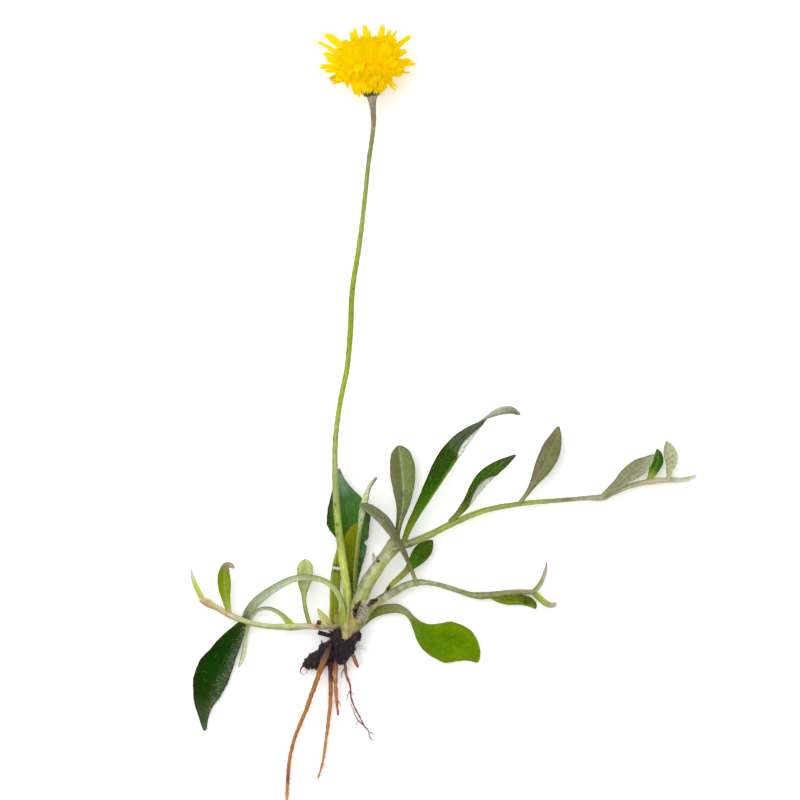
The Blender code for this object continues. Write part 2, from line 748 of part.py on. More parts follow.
def strap(path, half_widths, azimuth, finish, columns):
    """A narrow blade of the bloom. One with two columns is a floret, and ends in two teeth."""
    angle = math.radians(azimuth)
    side = np.array([math.sin(angle), math.cos(angle), 0])
    across = np.linspace(-1, 1, columns + 1)[None, :, None]
    grid = path[:, None] + side * np.array(half_widths)[:, None, None] * across
    points = list(grid.reshape(-1, 3))
    faces = sheet_faces(len(path), columns)
    if columns == 2:
        ahead = path[-1] - path[-2]
        ahead *= TOOTH_LENGTH / np.linalg.norm(ahead)
        for corner, place in ((len(points) - 3, -0.6), (len(points) - 2, 0.6)):
            faces.append((corner, corner + 1, len(points)))
            points.append(path[-1] + side * half_widths[-1] * place + ahead)
    mesh = bpy.data.meshes.new("strap")
    mesh.from_pydata((np.array(points) * MM).tolist(), [], faces)
    made = add_object("strap", mesh, finish)
    wall = made.modifiers.new("Blade thickness", "SOLIDIFY")
    wall.thickness = BLADE_THICKNESS * MM
    wall.offset = 0
    return made


def involucre(finish):
    """The cup under the bloom, with two rings of overlapping bracts fused to it."""
    cup = turned_solid("involucre", CUP_PROFILE, HEAD_SIDES, finish)
    bracts = []
    for ring, tip in enumerate(BRACT_TIPS):
        rise = RING_RISE * ring
        proud = RING_PROUD * ring
        profile = [(BRACT_ROOT[0], BRACT_ROOT[1] + rise)]
        profile += [(r + proud, h + 0.2 + rise) for r, h in CUP_PROFILE[2:-2]]
        profile += [(profile[-1][0] + 0.15, tip - 0.7), (profile[-1][0] + 0.2, tip)]
        widths = [BRACT_HALF_WIDTH] * (len(profile) - 1) + [BRACT_TIP_HALF_WIDTH]
        for i in range(BRACTS_IN_RING):
            azimuth = 360 * (i + RING_TURN * ring + BRACT_TURN) / BRACTS_IN_RING
            bracts.append(strap(around(azimuth, profile), widths, azimuth, finish, 1))
    joined(cup, bracts, "MANIFOLD")
    cup.matrix_world = head_matrix()


def floret_path(start, tip):
    """From start to tip, in (r, h), rising first and then bending outwards."""
    t = np.linspace(0, 1, len(FLORET_OUTLINE))[:, None]
    start = np.array(start)
    tip = np.array(tip)
    bend = start + (tip - start) * (0.35, 0.6)
    bend[1] = max(bend[1], start[1] + 0.4)
    return start * (1 - t) ** 2 + bend * 2 * t * (1 - t) + tip * t**2


def florets(finish):
    """All the strap florets, in rings and by their tips, fused to the core of floret tubes."""
    draw = random.Random(11)
    core = turned_solid("florets", CORE_PROFILE, HEAD_SIDES, finish)
    widths = [FLORET_HALF_WIDTH * share for share in FLORET_OUTLINE]
    paths = []
    for count, r, h, least, most, length in FLORET_RINGS:
        for i in range(count):
            azimuth = 360 * (i + draw.uniform(-0.3, 0.3)) / count
            lean = math.radians(draw.uniform(least, most))
            reach = length * draw.uniform(0.85, 1.12)
            tip = (r + reach * math.sin(lean), h + reach * math.cos(lean))
            paths.append((azimuth, floret_path((r, h), tip)))
    for azimuth, r, h in LONG_FLORETS:
        paths.append((azimuth, floret_path((min(3.4, 0.4 * r), min(9.0, h + 2)), (r, h))))
    for i in range(DROOPING_FLORETS):
        azimuth = 360 * (i + draw.uniform(-0.3, 0.3)) / DROOPING_FLORETS
        paths.append((azimuth, DROOP))
    straps = [
        strap(pressed(around(azimuth, path)), widths, azimuth, finish, 2)
        for azimuth, path in paths
    ]
    joined(core, straps, "MANIFOLD")
    core.matrix_world = head_matrix()


def head_matrix():
    """Turns the bloom's own frame, with h along its Z, to where it lies."""
    lay_down = Matrix.Rotation(-math.pi / 2, 4, "X")
    lean = Matrix.Rotation(math.radians(HEAD_LEAN), 4, "Z")
    return Matrix.Translation(Vector(HEAD_BASE) * MM) @ lean @ lay_down


def plant():
    """Every piece of the plant, from the roots to the bloom."""
    crown(material("dark bark", (0.025, 0.014, 0.016), 0.8))
    root_bark = material("root bark", (0.42, 0.19, 0.06), 0.7)
    stem("root_long", ROOT_LONG, root_bark, ROOT_RINGS)
    stem("root_middle", ROOT_MIDDLE, root_bark, ROOT_RINGS)
    stem("root_short", ROOT_SHORT, root_bark, ROOT_RINGS)
    stem("root_stub", ROOT_STUB, root_bark, ROOT_RINGS)
    branched_root(root_bark)

    stem("scape", SCAPE, material("stem green", (0.27, 0.34, 0.08), 0.55))
    runner = material("runner green", (0.38, 0.4, 0.13), 0.6)
    stem("stolon_upper", STOLON_UPPER, runner)
    stem("stolon_lower", STOLON_LOWER, runner)
    stem("stolon_left", STOLON_LEFT, runner)

    dark = material("leaf dark", (0.03, 0.1, 0.01), 0.5)
    bright = material("leaf bright", (0.14, 0.26, 0.01), 0.5)
    yellow = material("leaf yellow", (0.25, 0.26, 0.01), 0.5)
    felt = material("leaf underside", (0.28, 0.32, 0.16), 0.85)
    pale = material("leaf pale", (0.5, 0.56, 0.27), 0.7)
    withered = material("withered", (0.1, 0.06, 0.035), 0.85)
    leaf("leaf_broad", LEAF_BROAD, dark, 20, 4, 0.1, 0.08, 2.5, 1.0, notch=(0.66, 0.3))
    leaf("leaf_yellow", LEAF_YELLOW, yellow, 10, 2, 0.1)
    leaf("leaf_old", LEAF_OLD, yellow, 10, 2, 0.1)
    leaf("leaf_folded", LEAF_FOLDED, pale, 14, 2, 0.3, round_tip=0.8)
    leaf("leaf_arched", LEAF_ARCHED, dark, 26, 4, 0.08, 0.08, 5, 1.0)
    leaf("leaf_bright", LEAF_BRIGHT, bright, 22, 4, 0.08, 0.05, 4, 1.6)
    leaf("withered_base", WITHERED_BASE, withered, 6, 2, -0.2)
    leaf("withered_scale", WITHERED_SCALE, withered, 5, 2, -0.2, round_tip=0.8)

    leaf("leaf_grey", LEAF_GREY, felt, 16, 2, 0.15, round_tip=1.2)
    leaf("leaf_dark", LEAF_DARK, dark, 12, 4, 0.15, 0.05)
    leaf("leaf_felted", LEAF_FELTED, felt, 18, 4, 0.12, 0.04, 2, 2.6)
    leaf("leaf_long", LEAF_LONG, dark, 24, 4, 0.2, 0.04, 3, 1.5)
    leaf("leaf_narrow", LEAF_NARROW, dark, 14, 4, 0.2, 0.04, 2, 1.0)
    leaf("leaf_olive", LEAF_OLIVE, felt, 16, 4, 0.15, 0.04)
    leaf("leaf_silver", LEAF_SILVER, felt, 12, 4, 0.15, 0.04)
    leaf("leaf_young_dark", LEAF_YOUNG_DARK, dark, 8, 2, 0.2)
    leaf("leaf_young_pale", LEAF_YOUNG_PALE, pale, 9, 2, 0.2)
    leaf("leaf_upper_tip", LEAF_UPPER_TIP, pale, 6, 2, 0.2, round_tip=0.8)
    leaf("leaf_hanging", LEAF_HANGING, bright, 9, 2, 0.15)
    leaf("leaf_rising", LEAF_RISING, pale, 8, 2, 0.2, round_tip=0.8)
    leaf("leaf_blunt", LEAF_BLUNT, pale, 8, 2, 0.2, round_tip=0.8)

    leaf("leaf_scale", LEAF_SCALE, yellow, 7, 2, 0.2, round_tip=1.0)
    leaf("leaf_spoon", LEAF_SPOON, pale, 14, 4, 0.1, round_tip=2.0)
    leaf("leaf_curled", LEAF_CURLED, pale, 18, 2, 0.2, round_tip=1.0)
    leaf("leaf_hooked", LEAF_HOOKED, bright, 14, 2, 0.2, round_tip=0.8)
    leaf("leaf_left_tip", LEAF_LEFT_TIP, pale, 8, 2, 0.2, round_tip=0.8)

    involucre(material("bract", (0.12, 0.1, 0.05), 0.75))
    florets(material("floret yellow", (0.93, 0.6, 0.0), 0.55))


for existing in list(bpy.data.objects):
    bpy.data.objects.remove(existing)
plant()
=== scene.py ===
"""A whole mouse-ear hawkweed, pulled up with its roots and laid on a pale surface.

Places and sizes are in millimetres and become metres as each mesh is made. The origin is on the
surface under the crown, +Y runs along the flower stem and +Z is up.
"""
import json
import math

import bpy
import numpy as np
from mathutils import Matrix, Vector


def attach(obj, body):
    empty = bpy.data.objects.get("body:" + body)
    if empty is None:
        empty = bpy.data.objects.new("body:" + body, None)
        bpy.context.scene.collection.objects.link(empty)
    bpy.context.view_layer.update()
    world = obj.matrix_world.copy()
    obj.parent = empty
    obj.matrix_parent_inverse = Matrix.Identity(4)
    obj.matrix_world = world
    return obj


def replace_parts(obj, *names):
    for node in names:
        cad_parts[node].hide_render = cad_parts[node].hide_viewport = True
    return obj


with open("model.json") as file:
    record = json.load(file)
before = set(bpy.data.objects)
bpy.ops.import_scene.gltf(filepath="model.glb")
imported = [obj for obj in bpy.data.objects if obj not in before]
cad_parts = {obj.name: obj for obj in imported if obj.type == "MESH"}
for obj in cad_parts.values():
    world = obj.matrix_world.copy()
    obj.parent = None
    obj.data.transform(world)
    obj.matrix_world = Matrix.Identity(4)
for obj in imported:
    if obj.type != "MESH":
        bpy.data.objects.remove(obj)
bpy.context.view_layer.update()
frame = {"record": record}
MM = 0.001


# The view and the light. The plant is photographed from straight above, from far enough away
# that it looks almost flat. A broad soft light comes from the upper left, and a weaker one from
# the lower right, over a pale tabletop.
VIEW_CENTRE = (14.0, 61.0, 4.0)
VIEW_WIDTH = 200
LENS = 200
SENSOR = 36

camera = bpy.data.objects.new("camera", bpy.data.cameras.new("camera"))
camera.data.lens = LENS
camera.data.sensor_width = SENSOR
camera.location = Vector(VIEW_CENTRE) * MM + Vector((0, 0, VIEW_WIDTH * LENS / SENSOR * MM))
camera.data.clip_start = 0.01
bpy.context.scene.collection.objects.link(camera)
bpy.context.scene.camera = camera
bpy.context.scene.view_settings.view_transform = "Standard"


def soft_light(name, place, size, power):
    """A square light of that size in metres, aimed at the middle of the plant."""
    lamp = bpy.data.lights.new(name, "AREA")
    lamp.size = size
    lamp.energy = power
    light = bpy.data.objects.new(name, lamp)
    light.location = place
    aim = Vector(VIEW_CENTRE) * MM - Vector(place)
    light.rotation_euler = aim.to_track_quat("-Z", "Y").to_euler()
    light.visible_camera = False
    bpy.context.scene.collection.objects.link(light)


soft_light("window light", (-0.4, 0.45, 1.0), size=1.3, power=10.5)
soft_light("fill light", (0.7, -0.5, 0.7), size=1.0, power=2.0)
SURROUNDING_LIGHT = 0.56
sky = bpy.data.worlds.new("soft surroundings")
sky.use_nodes = True
sky.node_tree.nodes["Background"].inputs["Color"].default_value = (1, 1, 1, 1)
sky.node_tree.nodes["Background"].inputs["Strength"].default_value = SURROUNDING_LIGHT
bpy.context.scene.world = sky

top = bpy.data.meshes.new("tabletop")
top.from_pydata([(-3, -3, 0), (3, -3, 0), (3, 3, 0), (-3, 3, 0)], [], [(0, 1, 2, 3)])
tabletop = bpy.data.objects.new("tabletop", top)
bpy.context.scene.collection.objects.link(tabletop)
paper = bpy.data.materials.new("pale tabletop")
paper.use_nodes = True
pale = paper.node_tree.nodes["Principled BSDF"].inputs
pale["Base Color"].default_value = (0.95, 0.95, 0.95, 1)
pale["Roughness"].default_value = 0.9
pale["Emission Color"].default_value = (1, 1, 1, 1)
pale["Emission Strength"].default_value = 0.2
top.materials.append(paper)


# The crown is the short woody rhizome that everything grows from. It is a few gnarled lumps of
# dark purple-brown bark, grown together, with the torn stubs of old leaf bases as loose flakes,
# a broken side stub, a red rootlet and a pale neck where this year's leaf bases sit.
def paint(code):
    """A colour from its six-digit code, as the linear values that materials use."""
    share = np.array([int(code[i:i + 2], 16) / 255 for i in (0, 2, 4)])
    return np.where(share < 0.04045, share / 12.92, ((share + 0.055) / 1.055) ** 2.4)


def graded(stops, places):
    """Colours along a piece: straight blends between (place, colour code) stops."""
    at = [place for place, _ in stops]
    colours = np.array([paint(code) for _, code in stops])
    return np.stack([np.interp(places, at, colours[:, i]) for i in range(3)], axis=-1)


def add(tree, kind, inputs=None, **settings):
    """A shader node, with its inputs set to values or joined to other nodes' outputs."""
    made = tree.nodes.new("ShaderNode" + kind)
    for name, value in settings.items():
        setattr(made, name, value)
    for socket, value in (inputs or {}).items():
        if isinstance(value, bpy.types.NodeSocket):
            tree.links.new(value, made.inputs[socket])
        else:
            made.inputs[socket].default_value = value
    return made


def reckon(tree, operation, *values):
    """A step of arithmetic in a material, on numbers or on other nodes' outputs."""
    return add(tree, "Math", dict(enumerate(values)), operation=operation).outputs[0]


def ramp(tree, value, low=0.0, high=1.0, to_low=0.0, to_high=1.0):
    """A value carried in a straight line from the range low to high onto another range."""
    ends = {"From Min": low, "From Max": high, "To Min": to_low, "To Max": to_high}
    return add(tree, "MapRange", {"Value": value, **ends}).outputs[0]


def noise(tree, where, scale, detail, roughness=0.5):
    """Uneven cloud-like values, 0 to 1, with that many patches to a metre."""
    grain = {"Vector": where, "Scale": scale, "Detail": detail, "Roughness": roughness}
    return add(tree, "TexNoise", grain).outputs[0]


def laid_over(tree, colour, other, cover):
    """A colour with another laid over it where the cover says."""
    return add(tree, "Mix", {"Factor": cover, "A": colour, "B": other}, data_type="RGBA").outputs["Result"]


def roughen(tree, shader, height, strength, depth):
    """Small bumps on a material's surface, that deep in metres."""
    bumps = add(tree, "Bump", {"Height": height, "Strength": strength, "Distance": depth})
    tree.links.new(bumps.outputs[0], shader.inputs["Normal"])


def effect(name, inputs, outputs):
    """An empty node group with float or colour sockets, and its input and output nodes."""
    group = bpy.data.node_groups.new(name, "ShaderNodeTree")
    for way, sockets in (("INPUT", inputs), ("OUTPUT", outputs)):
        for socket, kind in sockets.items():
            group.interface.new_socket(socket, in_out=way, socket_type="NodeSocket" + kind)
    return group, group.nodes.new("NodeGroupInput").outputs, group.nodes.new("NodeGroupOutput").inputs


def use(tree, group, inputs):
    """An effect placed in a material, with its own values."""
    made = tree.nodes.new("ShaderNodeGroup")
    made.node_tree = group
    for socket, value in inputs.items():
        if isinstance(value, bpy.types.NodeSocket):
            tree.links.new(value, made.inputs[socket])
        else:
            made.inputs[socket].default_value = value
    return made.outputs


def plain(name, roughness, **constants):
    """A Principled material, its node tree, its shader and the piece's own colours."""
    made = bpy.data.materials.new(name)
    made.use_nodes = True
    tree = made.node_tree
    shader = tree.nodes["Principled BSDF"]
    shader.inputs["Roughness"].default_value = roughness
    for socket, value in constants.items():
        shader.inputs[socket.replace("_", " ")].default_value = value
    tint = add(tree, "Attribute", attribute_name="tint").outputs["Color"]
    return made, tree, shader, tint


# Mottling is the uneven tone of anything grown: large soft patches and finer flecks.
mottling, given, out = effect(
    "mottling",
    {"Colour": "Color", "Size": "Float", "Amount": "Float", "Flecks": "Float"},
    {"Colour": "Color", "Height": "Float"},
)
spot = add(mottling, "TexCoord").outputs["Object"]
patches = noise(mottling, spot, scale=given["Size"], detail=4.0)
finer = reckon(mottling, "MULTIPLY", given["Size"], 7.0)
flecks = noise(mottling, spot, scale=finer, detail=3.0)
patch_tone = reckon(mottling, "SUBTRACT", patches, 0.5)
patch_tone = reckon(mottling, "MULTIPLY", patch_tone, given["Amount"])
fleck_tone = reckon(mottling, "SUBTRACT", flecks, 0.5)
fleck_tone = reckon(mottling, "MULTIPLY", fleck_tone, given["Flecks"])
tone = reckon(mottling, "ADD", patch_tone, fleck_tone)
tone = reckon(mottling, "ADD", tone, 1.0)
shaded = add(mottling, "VectorMath", {0: given["Colour"], 1: tone}, operation="MULTIPLY").outputs[0]
mottling.links.new(shaded, out["Colour"])
mottling.links.new(flecks, out["Height"])


def mottled(tree, colour, size, amount, flecks):
    """Colour and height of a mottled surface: patches to a metre, and the depth of each tone."""
    return use(tree, mottling, {"Colour": colour, "Size": size, "Amount": amount, "Flecks": flecks})


SHARP_ABOVE = math.radians(55)


def skin(name, rings, finish, slot, **marks):
    """A closed surface over rings of points in mm, shaped (pieces, rows, columns, 3).

    Each row's ring closes on itself and runs clockwise seen along the path, and each end is
    closed round a point in its middle. Marks are numbers or colours, one for each point.
    """
    pieces, rows, columns, _ = rings.shape
    ends = rings[:, [0, -1]].mean(axis=2)
    points = np.concatenate([rings.reshape(pieces, -1, 3), ends], axis=1)
    row, column = np.meshgrid(np.arange(rows - 1), np.arange(columns), indexing="ij")
    a = (row * columns + column).ravel()
    b = (row * columns + (column + 1) % columns).ravel()
    first = np.arange(columns)
    last = first + (rows - 1) * columns
    onward = (first + 1) % columns
    sides = np.stack([a, b, b + columns, a + columns], axis=1)
    near_cap = np.stack([onward, first, np.full(columns, rows * columns)], axis=1)
    far_cap = np.stack([last, onward + last[0], np.full(columns, rows * columns + 1)], axis=1)
    step = (np.arange(pieces) * points.shape[1])[:, None, None]
    quads = (sides[None] + step).reshape(-1, 4)
    triangles = (np.concatenate([near_cap, far_cap])[None] + step).reshape(-1, 3)
    mesh = bpy.data.meshes.new(name)
    mesh.from_pydata(points.reshape(-1, 3) * MM, [], quads.tolist() + triangles.tolist())
    mesh.shade_smooth()
    mesh.set_sharp_from_angle(angle=SHARP_ABOVE)
    for mark, values in marks.items():
        colour = values.shape[-1] == 3 and values.ndim == 4
        flat = values.reshape(pieces, rows * columns, -1)
        flat = np.concatenate([flat, flat[:, :1], flat[:, -1:]], axis=1).reshape(-1, flat.shape[-1])
        if colour:
            flat = np.hstack([flat, np.ones((len(flat), 1))])
        kept = mesh.attributes.new(mark, "FLOAT_COLOR" if colour else "FLOAT", "POINT")
        kept.data.foreach_set("color" if colour else "value", flat.ravel().astype(np.float32))
    piece = bpy.data.objects.new(name, mesh)
    bpy.context.scene.collection.objects.link(piece)
    mesh.materials.append(finish)
    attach(piece, "root")
    return piece


def wander(points, size, seed, waves=7):
    """Smooth random height, about -1 to 1: plane waves of about that size in mm, added up."""
    draw = np.random.default_rng(seed)
    ways = draw.normal(size=(waves, 3))
    ways *= (draw.uniform(0.6, 1.7, waves) / np.linalg.norm(ways, axis=1) * 2 * np.pi / size)[:, None]
    phases = draw.uniform(0, 2 * np.pi, waves)
    return np.sin(points @ ways.T + phases).sum(axis=-1) / math.sqrt(waves)


def unit(vectors):
    """Vectors of the same directions and length 1."""
    return vectors / np.maximum(np.linalg.norm(vectors, axis=-1, keepdims=True), 1e-9)


def all_over(code, rings):
    """One colour for every point of the rings."""
    return paint(code) * np.ones(rings.shape)


def covered(colour, other, cover):
    """A colour with another laid over it by that share."""
    return colour * (1 - cover) + other * cover


def keep_above(points, least):
    """No point lower than that height over the surface, in mm."""
    points[..., 2] = np.maximum(points[..., 2], least)


bark, tree, shader, tint = plain("dark bark", 0.85)
toned = mottled(tree, tint, size=420.0, amount=1.3, flecks=1.1)
cracks = add(tree, "TexVoronoi", {"Scale": 900.0}, feature="DISTANCE_TO_EDGE").outputs["Distance"]
where = add(tree, "TexCoord").outputs["Object"]
tree.links.new(where, cracks.node.inputs["Vector"])
open_cracks = ramp(tree, cracks, high=0.08)
soil = noise(tree, where, scale=1500.0, detail=5.0)
soil_cover = ramp(tree, soil, low=0.58, high=0.72, to_high=0.5)
dusty = laid_over(tree, toned["Colour"], (*paint("6c5340"), 1), soil_cover)
tree.links.new(dusty, shader.inputs["Base Color"])
rise = reckon(tree, "ADD", open_cracks, toned["Height"])
roughen(tree, shader, rise, strength=0.9, depth=0.00025)

BARK_DARK = "1c1016"
CROWN_LUMPS = [
    ((-0.2, 0.2, 2.9), (3.4, 4.0, 3.5), BARK_DARK),
    ((2.5, 2.1, 3.9), (1.8, 2.0, 2.7), "33202a"),
    ((-1.6, 2.1, 3.9), (1.8, 1.9, 2.7), "2a1a16"),
    ((-1.0, -2.6, 2.7), (2.5, 2.6, 2.5), "1a1022"),
    ((-3.9, -1.8, 2.7), (2.6, 2.3, 2.4), "271a22"),
    ((-5.6, -3.9, 2.3), (3.5, 2.1, 2.0), "2b1a1f"),
    ((-8.0, -4.8, 2.1), (2.7, 1.7, 1.6), "3a2326"),
]
LUMP_ROWS = 50
LUMP_COLUMNS = 66
LUMP_CUTS = 16


def gnarled(centres, radii, seed):
    """Ellipsoids with their poles along X, cut by random planes, then ridged by smooth noise.

    Along a direction a lump reaches to the nearest plane: the plane's distance over the cosine
    between the direction and the plane's normal, but never past the ellipsoid itself.
    """
    down = np.linspace(0.03, 0.97, LUMP_ROWS)[None, :, None] * np.pi
    round_way = np.linspace(0, 2 * np.pi, LUMP_COLUMNS, endpoint=False)[None, None, :]
    ways = np.stack(np.broadcast_arrays(
        -np.cos(down) + 0 * round_way, -np.sin(down) * np.sin(round_way), np.sin(down) * np.cos(round_way)
    ), axis=-1)
    draw = np.random.default_rng(seed + 3)
    normals = unit(draw.normal(size=(len(centres), LUMP_CUTS, 3)))
    facing = np.einsum("nrci,nki->nrck", ways + 0 * centres[:, None, None], normals)
    cuts = draw.uniform(0.7, 1.0, (len(centres), 1, 1, LUMP_CUTS))
    reach = np.minimum((cuts / np.maximum(facing, 0.05)).min(axis=-1), 1)
    points = centres[:, None, None] + ways * radii[:, None, None] * reach[..., None]
    ridges = 0.5 - np.abs(wander(points, 4.2, seed))
    cracked = 0.5 - np.abs(wander(points * (0.6, 1, 1), 1.5, seed + 1))
    swell = 0.34 * ridges + 0.26 * cracked + 0.06 * wander(points, 0.5, seed + 2)
    return points + ways * swell[..., None]


lump_centres = np.array([centre for centre, _, _ in CROWN_LUMPS])
lump_radii = np.array([radii for _, radii, _ in CROWN_LUMPS])
lumps = gnarled(lump_centres, lump_radii, 3)
keep_above(lumps, 0.0)
lump_tint = np.array([paint(code) for _, _, code in CROWN_LUMPS])[:, None, None] * np.ones(lumps.shape)
# Blue-black patches laid at random over the lumps: a painted sheen.
blue_sheen_cover = 0.35 * np.clip(wander(lumps, 3.0, 9), 0, 1)[..., None]
lump_tint = covered(lump_tint, paint("1c1430"), blue_sheen_cover)
crown = skin("crown_bark", lumps, bark, "crown_bark", tint=lump_tint)
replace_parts(crown, "crown")

# The flakes: torn stubs of old leaf bases, each a small curled scale of bark that lies against a
# lump and stands off it towards its end.
FLAKES = 110
draw = np.random.default_rng(8)
on_lump = draw.integers(0, len(CROWN_LUMPS), FLAKES)
ways = unit(draw.normal(size=(FLAKES, 3)) * (1, 1, 0.6) + (0, 0, 0.5))
roots = lump_centres[on_lump] + ways * lump_radii[on_lump] * 0.97
along = unit(np.cross(ways, unit(draw.normal(size=(FLAKES, 3)) * 0.4 + (1, 0.2, 0))) + (0, 0.4, 0))
across = unit(np.cross(along, ways))
length = draw.uniform(0.8, 2.2, FLAKES)[:, None, None, None]
width = draw.uniform(0.2, 0.55, FLAKES)[:, None, None, None]
t = np.linspace(0, 1, 7)[None, :, None, None]
turn = np.linspace(0, 2 * np.pi, 8, endpoint=False)[None, None, :, None]
flakes = (
    roots[:, None, None]
    + along[:, None, None] * length * (t - 0.3)
    + across[:, None, None] * width * np.sin(turn) * np.sqrt(1.02 - t**2)
    + ways[:, None, None] * (0.07 * np.cos(turn) + 0.12 * length * t**2)
)
keep_above(flakes, 0.0)
redness = draw.random((FLAKES, 1)) ** 2
flake_tint = covered(paint("241618"), paint("6a3430"), redness)[:, None, None] * np.ones(flakes.shape)
skin("crown_flakes", flakes, bark, "crown_bark", tint=flake_tint)


def smooth(stations, step):
    """Rows about step mm apart on a smooth curve through the stations, and their places along it.

    Between two stations it is the cubic that leaves and reaches them with slopes taken from the
    stations on both sides.
    """
    stations = np.array(stations, float)
    gaps = np.linalg.norm(np.diff(stations[:, :3], axis=0), axis=1)
    along = np.concatenate([[0], np.cumsum(gaps)])
    slopes = np.gradient(stations, along, axis=0)
    places = np.linspace(0, along[-1], max(6, round(along[-1] / step)))
    first = np.clip(np.searchsorted(along, places, side="right") - 1, 0, len(along) - 2)
    span = along[first + 1] - along[first]
    t = ((places - along[first]) / span)[:, None]
    span = span[:, None]
    rows = (2 * t**3 - 3 * t**2 + 1) * stations[first] + (t**3 - 2 * t**2 + t) * span * slopes[first]
    rows += (3 * t**2 - 2 * t**3) * stations[first + 1] + (t**3 - t**2) * span * slopes[first + 1]
    return rows, places


def directions(points, turns):
    """Unit vectors at each row: along the path, across it and out of it, turned from straight up."""
    along = unit(np.gradient(points, axis=0))
    up = unit(np.array([0, 0, 1.0]) - along[:, 2:] * along)
    side = np.cross(along, up)
    angle = np.radians(turns)[:, None]
    return along, side * np.cos(angle) - up * np.sin(angle), up * np.cos(angle) + side * np.sin(angle)


def tube(stations, step=0.35, columns=22, ribs=0.03, rib_count=7, lumpy=0.05, seed=1):
    """Rings along a stem or root: a circle whose radius swells, with shallow lengthwise ribs.

    Returns the rings, the unit vectors out of them, the places along and the angles round.
    """
    rows, places = smooth(stations, step)
    along, side, up = directions(rows[:, :3], np.zeros(len(rows)))
    angle = np.linspace(-np.pi, np.pi, columns, endpoint=False)[None, :, None]
    out = side[:, None] * np.sin(angle) + up[:, None] * np.cos(angle)
    radius = rows[:, 3][:, None]
    centre = rows[:, None, :3]
    swell = lumpy * wander(centre + out * radius[..., None], 2.5, seed)
    swell += ribs * np.cos(rib_count * angle[..., 0] + 0.6 * np.sin(places[:, None] * 0.21 + seed))
    rings = centre + out * (radius * (1 + swell))[..., None]
    keep_above(rings, 0.02)
    return rings[None], out[None], places, np.broadcast_to(angle[..., 0], swell.shape)


def streaks(angle, places, round_way, lengthwise, size, seed):
    """Smooth random values on a stem, drawn out along it: waves over its angle and place."""
    flat = np.stack([angle * round_way, places[:, None] * lengthwise + 0 * angle, 0 * angle], axis=-1)
    return wander(flat, size, seed)


def strands(roots, ways, lengths, radius, bend=(0, 0, -0.2)):
    """Rings of tapering hairs: each leaves its root straight, then bends as the square of the way."""
    t = np.linspace(0, 1, 5)[None, :, None]
    reach = np.asarray(lengths, float)[:, None, None]
    bend = np.broadcast_to(np.asarray(bend, float), roots.shape)[:, None]
    spine = roots[:, None] + reach * (ways[:, None] * t + bend * t**2)
    ahead = unit(np.gradient(spine, axis=1))
    helper = np.where(np.abs(ways[:, 2:]) < 0.8, [[0.0, 0, 1]], [[1.0, 0, 0]])[:, None]
    side = unit(np.cross(ahead, helper))
    up = np.cross(side, ahead)
    angle = np.arange(3)[None, None, :, None] * 2 * np.pi / 3
    thick = np.reshape(np.broadcast_to(radius, len(roots)), (-1, 1, 1)) * (1 - 0.85 * t)
    outward = side[:, :, None] * np.sin(angle) + up[:, :, None] * np.cos(angle)
    return spine[:, :, None] + thick[..., None] * outward


# The broken black stub of an old runner, out of the crown's left side.
CROWN_STUB = [(-1.5, 1.6, 3.6, 0.6), (-4, 2.2, 3.5, 0.55), (-6.45, 2.85, 3.3, 0.55)]
stub_rings, _, _, _ = tube(CROWN_STUB, ribs=0.08)
skin("crown_stub", stub_rings, bark, "crown_bark", tint=all_over("181116", stub_rings))


# The roots are a few thin tough ones, orange-tan with a wrinkled skin, that leave the underside
# of the crown. The two longest reach furthest, the thin purple-brown one forks, and all of them
# bear fine rootlets.
root_skin, tree, shader, tint = plain("root bark", 0.62)
toned = mottled(tree, tint, size=600.0, amount=1.0, flecks=0.9)
tree.links.new(toned["Colour"], shader.inputs["Base Color"])
roughen(tree, shader, toned["Height"], strength=0.7, depth=0.00015)

